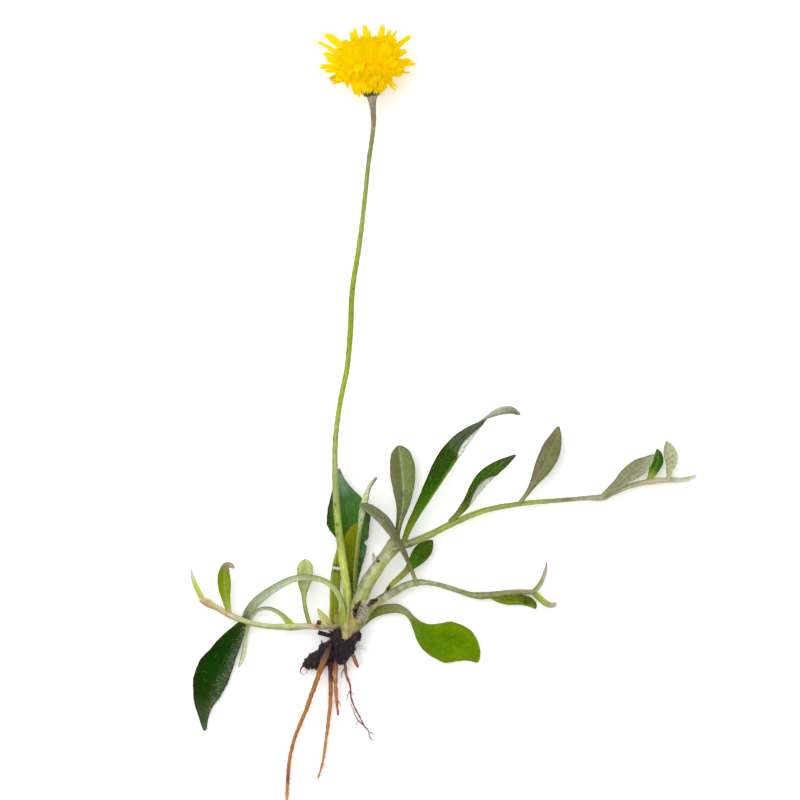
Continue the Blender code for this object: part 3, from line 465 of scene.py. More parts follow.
ROOTS = {
    "root_long": (
        [(-2.9, 0.4, 4.9, 0.2), (-3.6, -0.9, 5.4, 0.5), (-4.3, -2.4, 5.5, 0.72), (-5.2, -4.5, 5.1, 0.78),
         (-6.5, -8.2, 4.1, 0.62), (-8, -12.3, 3.2, 0.6), (-9.5, -16.5, 2.5, 0.55),
         (-11.3, -20.8, 1.9, 0.5), (-12.5, -24, 1.5, 0.45), (-13.4, -27.5, 1.2, 0.45),
         (-14.2, -35, 0.8, 0.4), (-14.4, -41, 0.6, 0.33), (-14, -45.5, 0.5, 0.2)],
        [(0, "1c120e"), (2, "3a2416"), (4, "6a4626"), (7, "9a6a2a"), (20, "b4742a"), (33, "b87028"),
         (37, "6a4022"), (39, "c08438"), (51, "dcac72")],
    ),
    "root_middle": (
        [(-3.3, -4.2, 2.6, 0.6), (-3.4, -5.75, 2.3, 0.62), (-3.35, -10, 1.9, 0.55), (-3.4, -14, 1.7, 0.5),
         (-4.3, -22, 1.2, 0.4), (-4.8, -26, 1.0, 0.35), (-5.4, -29.8, 0.8, 0.3), (-6.6, -34, 0.5, 0.18)],
        [(0, "3a1520"), (4, "5a1c1e"), (6.5, "a8682c"), (14, "bc762a"), (24, "c48842"), (31, "c8925a"),
         (34, "b86a50")],
    ),
    "root_short": (
        [(-2.2, -4.2, 3.5, 0.6), (-2.1, -5.6, 3.6, 0.62), (-2.15, -9.5, 3.2, 0.52),
         (-1.9, -13.5, 2.8, 0.42), (-1.5, -18, 2.4, 0.22)],
        [(0, "4a2418"), (2, "8a5a34"), (4, "b5804a"), (10, "b27438"), (13.3, "a0452a"), (14.5, "8a1420")],
    ),
    "root_thin": (
        [(0.0, -4.2, 2.7, 0.42), (0.2, -5.3, 2.4, 0.42), (0.6, -8, 2.1, 0.33), (1.5, -10.5, 1.9, 0.24),
         (1.75, -13.5, 1.6, 0.22), (2.7, -16.2, 1.4, 0.19), (4, -18.6, 1.2, 0.18), (5, -20.6, 1.0, 0.15),
         (6.1, -22, 0.8, 0.14), (6.4, -23.6, 0.6, 0.12), (7.5, -24.5, 0.5, 0.07)],
        [(0, "5a2a20"), (4, "a86a44"), (7, "8a4a3c"), (16, "7a3c40"), (24, "8a5258")],
    ),
    "root_stub": (
        [(1.9, -2.4, 3.0, 0.5), (2.4, -3.3, 2.9, 0.52), (2.8, -4.4, 2.8, 0.46), (3.5, -5.9, 2.6, 0.32)],
        [(0, "8a5a2c"), (2.5, "a8642c"), (3.8, "93142a")],
    ),
}
ROOT_TIPS = [
    [(6.2, -22.6, 0.8, 0.12), (6.9, -22.4, 0.6, 0.08), (7.6, -23.2, 0.5, 0.04)],
    [(2.0, -16.2, 0.7, 0.07), (1.6, -15.2, 0.6, 0.06), (1.3, -14.4, 0.5, 0.04)],
    [(3.6, -19.4, 0.9, 0.1), (3.0, -20.2, 0.7, 0.07), (3.1, -21.4, 0.5, 0.04)],
    [(1.6, -11.6, 1.6, 0.12), (0.9, -12.8, 1.2, 0.09), (0.7, -14.2, 0.8, 0.05)],
    [(0.3, -6.0, 2.2, 0.2), (-0.5, -7.2, 1.8, 0.14), (-0.7, -8.6, 1.2, 0.06)],
    [(-1.9, -13.9, 2.6, 0.14), (-1.2, -14.8, 2.0, 0.09), (-0.9, -15.9, 1.4, 0.05)],
]
ROOT_FORK = [(5, -20.6, 1.0, 0.17), (3.5, -19.3, 0.9, 0.14), (2.7, -17.9, 0.8, 0.11), (2, -16, 0.7, 0.07)]
CROWN_ROOTLET = [
    (-9.2, -5.2, 2.1, 0.3), (-10.6, -6.0, 1.9, 0.24), (-10.95, -7.2, 1.8, 0.14), (-10.2, -7.9, 1.7, 0.06),
]

rootlet_roots = []
rootlet_ways = []
for number, (name, (stations, colours)) in enumerate(ROOTS.items()):
    rings, out, places, angle = tube(stations, 0.3, 16, ribs=0.05, rib_count=3, lumpy=0.09, seed=number)
    rings += out * 0.03 * np.sin(places * 3.1 + 1.3 * np.sin(places * 0.8))[None, :, None, None]
    colour = graded(colours, places)[None, :, None] * np.ones(rings.shape)
    # Painted shade: both flanks of the round root are darkened towards reddish brown, where its sides turn
    # away from the light.
    painted_flank_shade = (0.75 * np.abs(np.sin(angle)) ** 2.2)[None, ..., None]
    colour = colour * (1 - painted_flank_shade) + (0.35 * colour + 0.65 * paint("6a2418")) * painted_flank_shade
    streak = 0.16 * streaks(angle, places, 1.5, 0.5, 2.0, number)
    colour = np.clip(colour * (1 + streak)[None, ..., None], 0, 1)
    root = skin(name + "_bark", rings, root_skin, "root_bark", tint=colour)
    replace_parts(root, name)
    draw = np.random.default_rng(40 + number)
    picked = draw.integers(len(places) // 5, len(places), len(places) // 4)
    column = draw.integers(0, rings.shape[2], len(picked))
    rootlet_roots.append(rings[0, picked, column])
    stray = draw.normal(size=(len(picked), 3)) * 0.35
    rootlet_ways.append(unit(out[0, picked, column] * (1, 1, 0.3) + stray))

SIDE_ROOTS = [("root_fork", ROOT_FORK, 12, "8a4a48"), ("crown_rootlet", CROWN_ROOTLET, 12, "a03a1c")]
SIDE_ROOTS += [(f"root_branchlet_{number + 1}", tip, 8, "7a4448") for number, tip in enumerate(ROOT_TIPS)]
for name, stations, columns, code in SIDE_ROOTS:
    rings, _, _, _ = tube(stations, 0.25, columns)
    skin(name, rings, root_skin, "root_bark", tint=all_over(code, rings))

roots = np.concatenate(rootlet_roots)
ways = np.concatenate(rootlet_ways)
draw = np.random.default_rng(5)
rings = strands(roots, ways, draw.uniform(0.5, 2.2, len(roots)), 0.035, (0, -0.25, -0.15))
keep_above(rings, 0.03)
skin("rootlets", rings, root_skin, "root_bark", tint=all_over("a8714c", rings))

# The fibres: short loose wisps of dead root on the crown's lower lumps.
FIBRES = 46
LOWER_LUMPS = [0, 3, 4, 5, 6]
ways = unit(draw.normal(size=(FIBRES, 3)) * (0.8, 0.4, 0.3) + (0.15, -0.8, -0.1))
picked = draw.integers(0, len(LOWER_LUMPS), FIBRES)
roots = lump_centres[LOWER_LUMPS][picked] + ways * lump_radii[LOWER_LUMPS][picked] * 0.8
rings = strands(roots, ways, draw.uniform(1.2, 4.5, FIBRES), 0.045, draw.normal(size=(FIBRES, 3)) * 0.25)
keep_above(rings, 0.03)
skin("crown_fibres", rings, root_skin, "root_bark", tint=all_over("5a3c3c", rings))


# The flower stem is a bare round stalk, faintly ribbed and felted. It is bright yellow-green at
# its foot, olive in the middle and grey-tan under the bloom, where its short hairs are thickest.
felt, given, out_sockets = effect(
    "felt",
    {"Colour": "Color", "Felt": "Color", "Cover": "Float"},
    {"Colour": "Color", "Height": "Float"},
)
spot = add(felt, "TexCoord").outputs["Object"]
tufts = noise(felt, spot, scale=7000.0, detail=2.0, roughness=0.6)
star_hairs = ramp(felt, tufts, low=0.2, high=0.8)
cover = reckon(felt, "MULTIPLY", star_hairs, given["Cover"])
felted = laid_over(felt, given["Colour"], given["Felt"], cover)
felt.links.new(felted, out_sockets["Colour"])
felt.links.new(cover, out_sockets["Height"])

stem_skin, tree, shader, tint = plain(
    "green stem", 0.6, Specular_IOR_Level=0.1, Subsurface_Weight=0.15, Subsurface_Scale=0.001
)
down = add(tree, "Attribute", attribute_name="down").outputs["Fac"]
toned = mottled(tree, tint, size=380.0, amount=0.55, flecks=0.5)
where = add(tree, "TexCoord").outputs["Object"]
patches = noise(tree, where, scale=650.0, detail=2.0)
patchy = ramp(tree, patches, low=0.38, high=0.66, to_low=0.3, to_high=2.4)
patchy = reckon(tree, "MULTIPLY", patchy, down)
downy = use(tree, felt, {"Colour": toned["Colour"], "Felt": (*paint("dfe2c4"), 1), "Cover": patchy})
tree.links.new(downy["Colour"], shader.inputs["Base Color"])
roughen(tree, shader, downy["Height"], strength=0.5, depth=0.00012)

hair, tree, shader, tint = plain("pale hair", 0.5)
toned = mottled(tree, tint, size=900.0, amount=0.4, flecks=0.0)
tree.links.new(toned["Colour"], shader.inputs["Base Color"])


def stem(name, stations, colours, felting, spots=(), ribs=0.03, flanks=None, seed=1):
    """A stem in place of its CAD node.

    Spots are (place along, angle in degrees, size, colour). Felting is how thick the down is,
    as (place, cover) stops. Flanks are the colours of its left and right sides.
    """
    rings, out, places, angle = tube(stations, columns=26, ribs=ribs, lumpy=0.04, seed=seed)
    colour = graded(colours, places)[:, None] * np.ones(rings.shape[1:])
    for sign, stops in zip((-1, 1), flanks or ()):
        cover = np.clip(sign * np.sin(angle) * 1.6 - 0.2, 0, 1)[..., None]
        colour = covered(colour, graded(stops, places)[:, None], cover)
    # The colour follows the tube's own ribs: painted highlight on their crests and painted shade in the
    # hollows between them.
    ribbing = 0.07 * np.cos(7 * angle + 0.6 * np.sin(places[:, None] * 0.21 + seed))
    uneven = 0.12 * streaks(angle, places, 2.2, 0.25, 2.2, seed)
    uneven += 0.08 * streaks(angle, places, 3, 0.8, 1.6, seed + 1)
    # The random streaks are the stem's own tone. The last term is painted shade: both flanks darker than
    # the top and the underside, where the round stem turns from the light.
    colour = colour * (1 + ribbing + uneven - 0.3 * (1 - np.abs(np.cos(angle))) ** 1.5)[..., None]
    for place, degrees, size, code in spots:
        round_way = (angle - math.radians(degrees) + np.pi) % (2 * np.pi) - np.pi
        away = ((places[:, None] - place) / size) ** 2 + (round_way / size * stations[0][3]) ** 2
        cover = np.exp(-away * 2)[..., None]
        colour = covered(colour, paint(code), cover)
    cover = np.interp(places, *zip(*felting))[:, None, None] * np.ones_like(colour[..., :1])
    colour = np.clip(colour, 0, 1)
    made = skin(name + "_skin", rings, stem_skin, frame_slots[name], tint=colour[None], down=cover[None])
    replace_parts(made, name)
    return rings[0], out[0], places


def fur(name, slot, groups, code, seed):
    """Hairs in one piece. Each group: rings, outward vectors, count, least and most length, radius."""
    draw = np.random.default_rng(seed)
    tufts = []
    for rings, out, count, least, most, radius in groups:
        row = draw.integers(0, rings.shape[0], count)
        column = draw.integers(0, rings.shape[1], count)
        ways = unit(out[row, column] + draw.normal(size=(count, 3)) * 0.45)
        lengths = draw.uniform(least, most, count)
        bend = draw.normal(size=(count, 3)) * 0.18
        tufts.append(strands(rings[row, column] - ways * 0.05, ways, lengths, radius, bend))
    hairs = np.concatenate(tufts)
    keep_above(hairs, 0.02)
    shades = draw.uniform(0.8, 1.05, (len(hairs), 1, 1, 1))
    return skin(name, hairs, hair, slot, tint=paint(code) * shades * np.ones(hairs.shape))


frame_slots = {part["node"]: part["material_slot"] for part in frame["record"]["subparts"]}
SCAPE = [
    (0.35, 1.4, 6.0, 0.75), (0.6, 4.0, 5.9, 0.85), (0.85, 6.5, 5.2, 0.95), (0.95, 11.7, 4.8, 1.05),
    (0.0, 19, 5.4, 1.0), (-1.3, 29, 6.2, 0.9), (-2.2, 42, 6.7, 0.72), (-2.1, 51, 6.9, 0.64),
    (-0.8, 61, 7.0, 0.62), (0.8, 69, 7.05, 0.64), (1.6, 78, 7.1, 0.69), (2.1, 88, 7.2, 0.66),
    (3.9, 100, 7.4, 0.62), (5.1, 110, 7.6, 0.56), (6.15, 120, 7.8, 0.56), (7.4, 131, 7.95, 0.66),
    (7.15, 135, 8.0, 0.9), (7.0, 137.2, 8.0, 1.5),
]
scape_rings, scape_out, scape_places = stem(
    "scape",
    stations=SCAPE,
    colours=[(0, "a3904c"), (6, "a29a48"), (10, "acb24a"), (15, "bbc856"), (20, "bccb60"), (25, "9aaa42"),
             (30, "98a94a"), (37, "9ba65c"), (45, "9fad60"), (51, "98a84a"), (56, "9aae3e"),
             (61, "93a92c"), (66, "92a726"), (71, "92a228"), (76, "8a9812"), (82, "8a9a0a"),
             (87, "8e9614"), (92, "92a220"), (97, "98a436"), (103, "96a43c"), (108, "94a044"),
             (112, "8b9a2e"), (117, "88973a"), (122, "828c40"), (127, "86804c"), (131, "847050"),
             (135, "8a7866"), (138, "9c8a80")],
    felting=[(0, 0.3), (15, 0.1), (60, 0.06), (110, 0.06), (128, 0.15), (138, 0.25)],
    spots=[(29, -20, 0.6, "4a4a20"), (34, -25, 0.6, "4a4a20"), (26.5, -40, 0.4, "5a5a2a"),
           (47, 20, 0.3, "5a5a2a"), (88, 10, 0.3, "5a5428"), (60, -30, 0.25, "5a5a2a"),
           (54, 30, 0.25, "5a5a2a"), (102, -20, 0.25, "5a5a2a")],
    ribs=0.035, seed=5,
)
# Its short hairs: their number, least and most length, and radius, all along and near the top.
SCAPE_HAIRS = (480, 0.25, 0.7, 0.018)
TOP_HAIRS = (260, 0.3, 0.9, 0.022)
near_top = scape_places > 112
fur(
    "scape_hairs", "stem_green",
    [(scape_rings, scape_out, *SCAPE_HAIRS), (scape_rings[near_top], scape_out[near_top], *TOP_HAIRS)],
    code="d8d8c0", seed=71,
)


# The three runners are leafy stems that creep from the crown over the ground. They are stout and
# pale green at first, thinner and browner further out, swollen where a leaf grows, and furred
# with long white hairs all along.
RUNNER_HAIRS = (0.5, 1.5, 0.02)
runner_fur = []


def runner(name, hairs, seed, **form):
    """A runner in place of its CAD node, and its hairs kept for the piece that holds them all."""
    rings, out, _ = stem(name, ribs=0.05, seed=seed, **form)
    runner_fur.append((rings, out, hairs, *RUNNER_HAIRS))


runner(
    "stolon_upper",
    stations=[(1.2, 2.0, 5.2, 1.2), (2.3, 4.6, 5.6, 1.5), (3.6, 10.3, 5.9, 1.72), (5.6, 14.8, 5.7, 1.72),
              (8.2, 19, 5.4, 1.65), (11, 22.6, 5.0, 1.5), (13.4, 24.3, 4.7, 1.2), (16.5, 25.2, 4.4, 0.95),
              (21, 27.1, 4.2, 0.84), (28.5, 30.8, 3.9, 0.76), (35, 33.3, 3.5, 0.68), (44, 35, 3.0, 0.6),
              (54, 35.9, 2.6, 0.55), (61.5, 36.5, 2.4, 0.62), (64.8, 36.7, 2.4, 0.85),
              (67.5, 37.9, 2.3, 0.72), (73.5, 40, 2.0, 0.62), (78.5, 40.8, 1.7, 0.7),
              (83.0, 41, 1.4, 0.5)],
    colours=[(0, "8c7a3c"), (5, "a49a50"), (9, "a4a452"), (14, "a4a862"), (20, "aab070"), (25, "a6aa74"),
             (29, "8c9254"), (31.5, "8c9a3c"), (35, "93a04c"), (39.5, "90a044"), (44, "8a9c34"),
             (49, "92a83c"), (54, "949c48"), (58.5, "a09a68"), (60.5, "94ac34"), (65, "8aa02c"),
             (67.5, "8a8458"), (76, "928c66"), (79, "a09a78"), (83, "a8a880"), (88, "b0ac78"),
             (92, "b8b080"), (95, "d0b894"), (99, "c8a890")],
    felting=[(0, 0.12), (12, 0.28), (20, 0.2), (27, 0.1), (45, 0.07), (65, 0.07), (78, 0.2), (99, 0.25)],
    flanks=([(0, "7a6a34"), (8, "868238"), (14, "7c8048"), (22, "90906c"), (28, "84845a"), (38, "7c8c30"),
             (64, "84942c"), (70, "847c58"), (99, "a09a78")],
            [(0, "7c7428"), (8, "8c9020"), (14, "9ca428"), (22, "94a034"), (28, "687230"), (38, "a0ac50"),
             (62, "9aac48"), (70, "9a946c"), (99, "b0ac88")]),
    spots=[(12.5, -60, 0.5, "5a5a24"), (10, -70, 0.6, "4c4c20"), (16, 50, 0.35, "6a6a2a"),
           (29, 30, 0.6, "4a5020"), (68.5, -20, 0.3, "5a4a28"), (47.5, -40, 0.3, "4c5a14"),
           (92, 0, 0.8, "d8a084"), (20.4, -50, 0.45, "2e2a14"), (24.5, 10, 0.35, "5c5a30"),
           (26.5, -20, 0.3, "4a4a20"), (13.2, 35, 0.3, "4c4c1c"), (18, -20, 0.9, "c8c49c"),
           (22.5, 30, 0.8, "c4c498"), (59, -60, 0.5, "6a5a3c"), (79.5, 40, 0.6, "8a7a58")],
    hairs=900, seed=11,
)
runner(
    "stolon_lower",
    stations=[(3.0, 3.4, 3.7, 0.8), (4.5, 5.7, 3.5, 0.98), (6, 8.6, 3.5, 1.08), (8, 10.4, 3.5, 1.02),
              (10.5, 11.9, 3.4, 1.0), (13, 13.3, 3.3, 0.95), (15.5, 14.6, 3.2, 0.9), (18, 15.3, 3.0, 0.8),
              (22, 15.1, 2.7, 0.6), (27.5, 13.6, 2.4, 0.62), (31.5, 12.3, 2.1, 0.7), (34.2, 12, 2.0, 0.9),
              (37.5, 12.3, 1.9, 0.75), (42, 12.8, 1.8, 0.68), (47.6, 12.9, 1.6, 0.6)],
    colours=[(0, "6c5c24"), (4, "7a7830"), (7, "8a8a48"), (10, "87865a"), (13, "85856a"), (17, "8a8c62"),
             (20, "9c9c70"), (24, "8e9060"), (28, "868c4c"), (33, "7f8648"), (37, "7e854c"),
             (40, "908454"), (43, "8e8a50"), (46, "8a7c58"), (52, "9c8468")],
    felting=[(0, 0.2), (12, 0.4), (24, 0.3), (40, 0.15), (52, 0.1)],
    flanks=([(0, "6c5c24"), (8, "6c6a48"), (14, "6c6c50"), (24, "78784c"), (40, "6c7430"), (52, "a48c74")],
            [(0, "7c7c1c"), (8, "8c9230"), (14, "8c9434"), (24, "80883c"), (40, "6c7420"), (52, "5c6c1c")]),
    spots=[(11, -50, 0.7, "2c2814"), (15.5, -40, 0.3, "4a4420"), (38, 40, 0.5, "5c5430")],
    hairs=460, seed=12,
)
runner(
    "stolon_left",
    stations=[(-1.8, 4.2, 4.2, 0.6), (-3.7, 4.3, 3.9, 0.68), (-6, 4.25, 3.8, 0.72), (-9, 4.4, 3.7, 0.72),
              (-13.3, 4.25, 3.65, 0.88), (-17, 4.3, 3.7, 0.66), (-21, 4.7, 3.8, 0.64),
              (-25, 5.8, 3.7, 0.66), (-29, 7.4, 3.0, 0.72), (-32, 9.1, 2.5, 0.72),
              (-34.6, 10.4, 2.0, 0.95), (-36.0, 11.1, 1.8, 0.6)],
    colours=[(0, "948a3c"), (2, "a08c44"), (3.6, "a8904c"), (4.8, "7a5a30"), (6.2, "cdbf94"),
             (8, "b4bc74"), (12, "b0ba68"), (19, "b0b468"), (23, "b4b870"), (26, "c8c098"),
             (29, "cdc09a"), (31, "c8b878"), (33, "d0ac74"), (34.3, "b88a58"), (35.8, "ccc080")],
    felting=[(0, 0.3), (10, 0.3), (25, 0.2), (40, 0.15)],
    flanks=([(0, "7c7430"), (7, "a08c70"), (12, "849048"), (25, "8c9444"), (30, "9c8c58"), (40, "a07c4c")],
            [(0, "b0a460"), (7, "c8b8a0"), (12, "bcc488"), (25, "c4c488"), (30, "dcc898"), (40, "d8bc88")]),
    spots=[(4.9, 20, 0.5, "5a3018"), (12.5, 10, 0.4, "d0d0a0"), (34, -30, 0.8, "a06c40"),
           (28, 0, 0.6, "c8966c"), (17, -40, 0.4, "8a9040"), (22, 40, 0.4, "d8d8b0")],
    hairs=330, seed=13,
)
fur("runner_hairs", "runner_green", runner_fur, code="e8e8d8", seed=72)

# Where two leaves leave the upper runner side by side, their clasping bases fill the corner.
AXIL = [
    (10.4, 23.0, 5.0, 1.1), (11.8, 24.8, 5.1, 1.25), (12.8, 26.5, 5.2, 1.0), (13.35, 28.2, 5.3, 0.7),
    (13.6, 29.4, 5.3, 0.35),
]
rings, _, places, angle = tube(AXIL, 0.3, ribs=0.05, lumpy=0.06, seed=31)
colour = graded([(0, "a0a468"), (3, "9c9c64"), (5, "8c8c58"), (8, "6c7440")], places)[:, None]
# Painted shade: the flanks are darker than the top, where the round sheath turns from the light.
colour = colour * (1 - 0.3 * (1 - np.abs(np.cos(angle)))[..., None])
axil_down = np.full((*rings.shape[:3], 1), 0.15)
skin("axil_sheath", rings, stem_skin, "runner_green", tint=colour[None], down=axil_down)


# The leaves are thin spoon-shaped blades on channelled stalks, dark green above and grey with
# matted felt below, with a pale midrib, faint side veins and long stiff hairs. Those of the
# rosette grow straight from the crown: one broad, two old and yellowing, one folded, one on a
# long arched stalk and one bright young one.
leaf_skin, tree, shader, tint = plain(
    "leaf blade", 0.5, Specular_IOR_Level=0.01, Subsurface_Weight=0.1, Subsurface_Scale=0.0008
)
mark = {
    name: add(tree, "Attribute", attribute_name=name).outputs["Fac"]
    for name in ("vein", "rib", "face", "edge", "rib_show", "vein_show")
}
fleck_amount = ramp(tree, mark["face"], to_low=1.3, to_high=0.6)
toned = mottled(tree, tint, size=240.0, amount=0.8, flecks=fleck_amount)
where = add(tree, "TexCoord").outputs["Object"]
drift = noise(tree, where, scale=350.0, detail=1.0)
place = reckon(tree, "MULTIPLY_ADD", drift, 0.6, mark["vein"])
place = reckon(tree, "FRACT", place)
away = reckon(tree, "SUBTRACT", place, 0.5)
away = reckon(tree, "ABSOLUTE", away)
line = ramp(tree, away, low=0.01, high=0.09, to_low=1.0, to_high=0.0)
inside = ramp(tree, mark["edge"], high=0.9, to_high=1.0)
side_veins = reckon(tree, "MULTIPLY", line, inside)
shown_veins = reckon(tree, "MULTIPLY", side_veins, mark["vein_show"])
midrib = ramp(tree, mark["rib"], low=0.06, high=0.26, to_low=1.0, to_high=0.0)
shown_rib = reckon(tree, "MULTIPLY", midrib, mark["rib_show"])
vein_cover = reckon(tree, "MAXIMUM", shown_veins, shown_rib)
veined = laid_over(tree, toned["Colour"], (*paint("c3d0a0"), 1), vein_cover)
felt_cover = ramp(tree, mark["face"], to_low=0.22, to_high=0.0)
specks = noise(tree, where, scale=2000.0, detail=1.0)
specks = ramp(tree, specks, low=0.6, high=0.7, to_high=0.55)
below = ramp(tree, mark["face"], to_low=1.0, to_high=0.3)
specks = reckon(tree, "MULTIPLY", specks, below)
veined = laid_over(tree, veined, (*paint("36381a"), 1), specks)
downy = use(tree, felt, {"Colour": veined, "Felt": (*paint("ccd2a4"), 1), "Cover": felt_cover})
rim = ramp(tree, mark["edge"], high=0.2, to_low=0.6, to_high=1.0)
rimmed = add(tree, "VectorMath", {0: downy["Colour"], "Scale": rim}, operation="SCALE").outputs[0]
tree.links.new(rimmed, shader.inputs["Base Color"])
rough = ramp(tree, mark["face"], to_low=0.9, to_high=0.42)
tree.links.new(rough, shader.inputs["Roughness"])
relief = reckon(tree, "MULTIPLY_ADD", side_veins, -0.8, downy["Height"])
relief = reckon(tree, "ADD", toned["Height"], relief)
roughen(tree, shader, relief, strength=0.5, depth=0.0001)

LEAF_STEP = 0.28
HALF_COLUMNS = 13
MARGIN_THICKNESS = 0.06
STALK_THICKNESS = 0.42
STALK_BELOW = 1.3
BLADE_HAIRS = (0.8, 2.2, 0.014)
STALK_HAIRS = (0.4, 1.2, 0.02)
COMBED_HAIRS = (0.8, 2.1, 0.018)
MARGIN_HAIRS = (0.5, 1.4, 0.018)
LEAST_MARGIN_HAIRS = 12
LEAF_HAIR_COLOUR = "dfe4d2"
leaf_fur = []


def leaf(name, stations, upper, under, turn=0, fold=0.2, wave=0, wave_count=2,
         round_tip=0.8, foot=0.8, vein_gap=1.6, hairs=0, stalk_hairs=10,
         notch=None, zones=(), spots=(), shows=(0.0, 0.0, 0.0), rolled=None, combed=0):
    """A leaf in place of its CAD node.

    A station is x, y, z and half width (left and right where they differ). The turn about the
    midline is in degrees, one for the whole leaf or one for each station. Across the blade the
    margins rise by the fold and ripple; the upper face is grooved at the midrib and puffed
    between the side veins, and the lower face has the midrib standing out. Where the blade
    narrows to a stalk it thickens. The foot is how far the stalk runs on into the stem. Upper
    and under are each face's colours along the leaf. A notch is its place, depth and width.
    Zones are (first place, last place, bands), and lay colour across the blade there, each band
    (share of the half width, colour, cover). Spots are (place along, share of the half width,
    size, colour, cover). Shows is how far the midrib and the left and right side veins stand
    out in colour. Rolled is (first place, last place, reach): there the right margin has
    turned up and back over the blade, by that share of the half width, and shows its underside.
    Combed is a number of further hairs that lie across the left half.
    """
    start = np.array(stations[0][:3], float)
    back = start - foot * unit(np.array(stations[1][:3]) - start)
    turns = np.broadcast_to(turn, len(stations))
    path = [(x, y, z, halves[0], halves[-1], angle) for (x, y, z, *halves), angle in zip(stations, turns)]
    rows, along = smooth([(*back, *path[0][3:]), *path], LEAF_STEP)
    along_way, side, normal = directions(rows[:, :3], rows[:, 5])
    u = np.linspace(-1, 1, 2 * HALF_COLUMNS + 1)[None]
    s = np.sign(u) * np.abs(u) ** 1.35
    into_tip = np.clip((along - along[-1] + round_tip) / round_tip, 0, 1)
    taper = np.sqrt(1 - into_tip**2)[:, None]
    share = (along / along[-1])[:, None]
    half = np.where(s < 0, rows[:, 3:4], rows[:, 4:5])
    uneven = 1 + 0.012 * np.sin(along[:, None] * 1.3 + 5 * s) + 0.008 * np.sin(along[:, None] * 3.1 + 4 * s)
    half = np.maximum(half * taper * uneven, 0.07)
    if notch:
        place, depth, width = notch
        half = np.where(s > 0, half * (1 - depth * np.exp(-((along[:, None] - place) / width) ** 2)), half)
    ripple = wave * np.sin(2 * math.pi * wave_count * share + s) * s**2
    out_to = s + 0 * half
    if rolled:
        first, last, reach = rolled
        swell = np.sin(np.pi * np.clip((along - first) / (last - first), 0, 1)) ** 0.7
        out_to = np.where(s > 0, s * (1 + reach * swell[:, None]), out_to)
    past = np.clip(out_to - 1, 0, None)
    turned = np.pi * np.clip((out_to - 0.9) / 0.2, 0, 1) * (out_to > 1) * np.clip(past * 20, 0, 1)
    across = out_to - 2 * past
    sheet = rows[:, None, :3] + side[:, None] * (half * across)[..., None]
    lift = half * (fold * np.abs(across) + ripple) + 0.45 * np.clip(past * 6, 0, 1) + 0.3 * past * half
    sheet += normal[:, None] * lift[..., None]
    flat_normal = normal[:, None]
    normal = flat_normal * np.cos(turned)[..., None] - side[:, None] * np.sin(turned)[..., None]
    stalk = np.clip(1.5 - rows[:, 3:5].mean(axis=1), 0, 1)[:, None]
    thickness = (0.16 + STALK_THICKNESS * stalk) * np.sqrt(1 - s**2) * np.sqrt(taper + 0.02)
    thickness = MARGIN_THICKNESS + thickness
    vein = (along[:, None] - 1.15 * half * np.abs(s)) / vein_gap + 0.5 * (s < 0)
    puff = 0.028 * half * np.sin(np.pi * vein) ** 2 * 4 * np.abs(s) * (1 - np.abs(s)) * (1 - stalk)
    groove = 0.09 * np.exp(-((s * half / 0.28) ** 2)) * (1 + stalk)
    rib = 0.2 * (1 - 0.7 * share) * np.exp(-((s * half / 0.3) ** 2))
    upper_face = sheet + normal * (0.5 * thickness + puff - groove)[..., None]
    lower_face = sheet - normal * (0.5 * thickness * (1 + stalk) - puff + rib)[..., None]
    rings = np.concatenate([upper_face, lower_face[:, ::-1]], axis=1)
    keep_above(rings, 0.03)

    def both(values):
        values = np.broadcast_to(values, half.shape)
        return np.concatenate([values, values[:, ::-1]], axis=1)[None]

    def tinted(stops):
        colour = np.broadcast_to(graded(stops, along)[:, None], upper_face.shape)
        for first, last, bands in zones:
            at = [at for at, _, _ in bands]
            cover = np.interp(s[0], at, [cover for _, _, cover in bands])[None, :, None]
            cover = cover * np.clip(np.minimum(along - first, last - along) + 0.5, 0, 1)[:, None, None]
            colour = covered(colour, graded([band[:2] for band in bands], s[0]), cover)
        for place, at, size, code, cover in spots:
            away = ((along[:, None] - place) / size) ** 2 + ((s - at) * half / size) ** 2
            cover = cover * np.exp(-away)[..., None]
            colour = covered(colour, paint(code), cover)
        return colour

    face = np.concatenate([np.ones_like(half), np.zeros_like(half)], axis=1)[None]
    tint = np.concatenate([tinted(upper), tinted(under)[:, ::-1]], axis=1)[None]
    made = skin(
        name + "_blade", rings[None], leaf_skin, frame_slots[name], tint=tint, vein=both(vein), face=face,
        rib=both(np.abs(s) * half), edge=both((1 - np.abs(s)) * half),
        rib_show=both(shows[0]), vein_show=both(np.where(s < 0, shows[1], shows[2]) * (1 - stalk)),
    )
    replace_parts(made, name)
    lying = unit(flat_normal * 0.45 + along_way[:, None] * 0.7 + side[:, None] * s[..., None] * 0.5)
    wide = rows[:, 3:5].mean(axis=1) > STALK_BELOW
    if hairs and wide.any():
        leaf_fur.append((upper_face[wide], lying[wide], hairs * 2 // 3, *BLADE_HAIRS))
    spread = unit(flat_normal * 0.5 + along_way[:, None] * 0.2 + side[:, None] * s[..., None])
    if stalk_hairs and (~wide).any():
        leaf_fur.append((upper_face[~wide], spread[~wide], stalk_hairs, *STALK_HAIRS))
    if combed:
        swept = unit(flat_normal * 0.25 - along_way[:, None] * 0.15 - side[:, None] + 0 * s[..., None])
        leaf_fur.append((upper_face[wide][:, 1:10], swept[wide][:, 1:10], combed, *COMBED_HAIRS))
    margin = [0, 1, -2, -1]
    fringe = max(hairs, LEAST_MARGIN_HAIRS)
    leaf_fur.append((upper_face[:, margin], spread[:, margin], fringe, *MARGIN_HAIRS))


def hairs_of_leaves(group, slot, seed):
    """The hairs of the leaves made since the last such call, in one piece."""
    fur("leaf_hairs_of_" + group, slot, leaf_fur, LEAF_HAIR_COLOUR, seed)
    leaf_fur.clear()


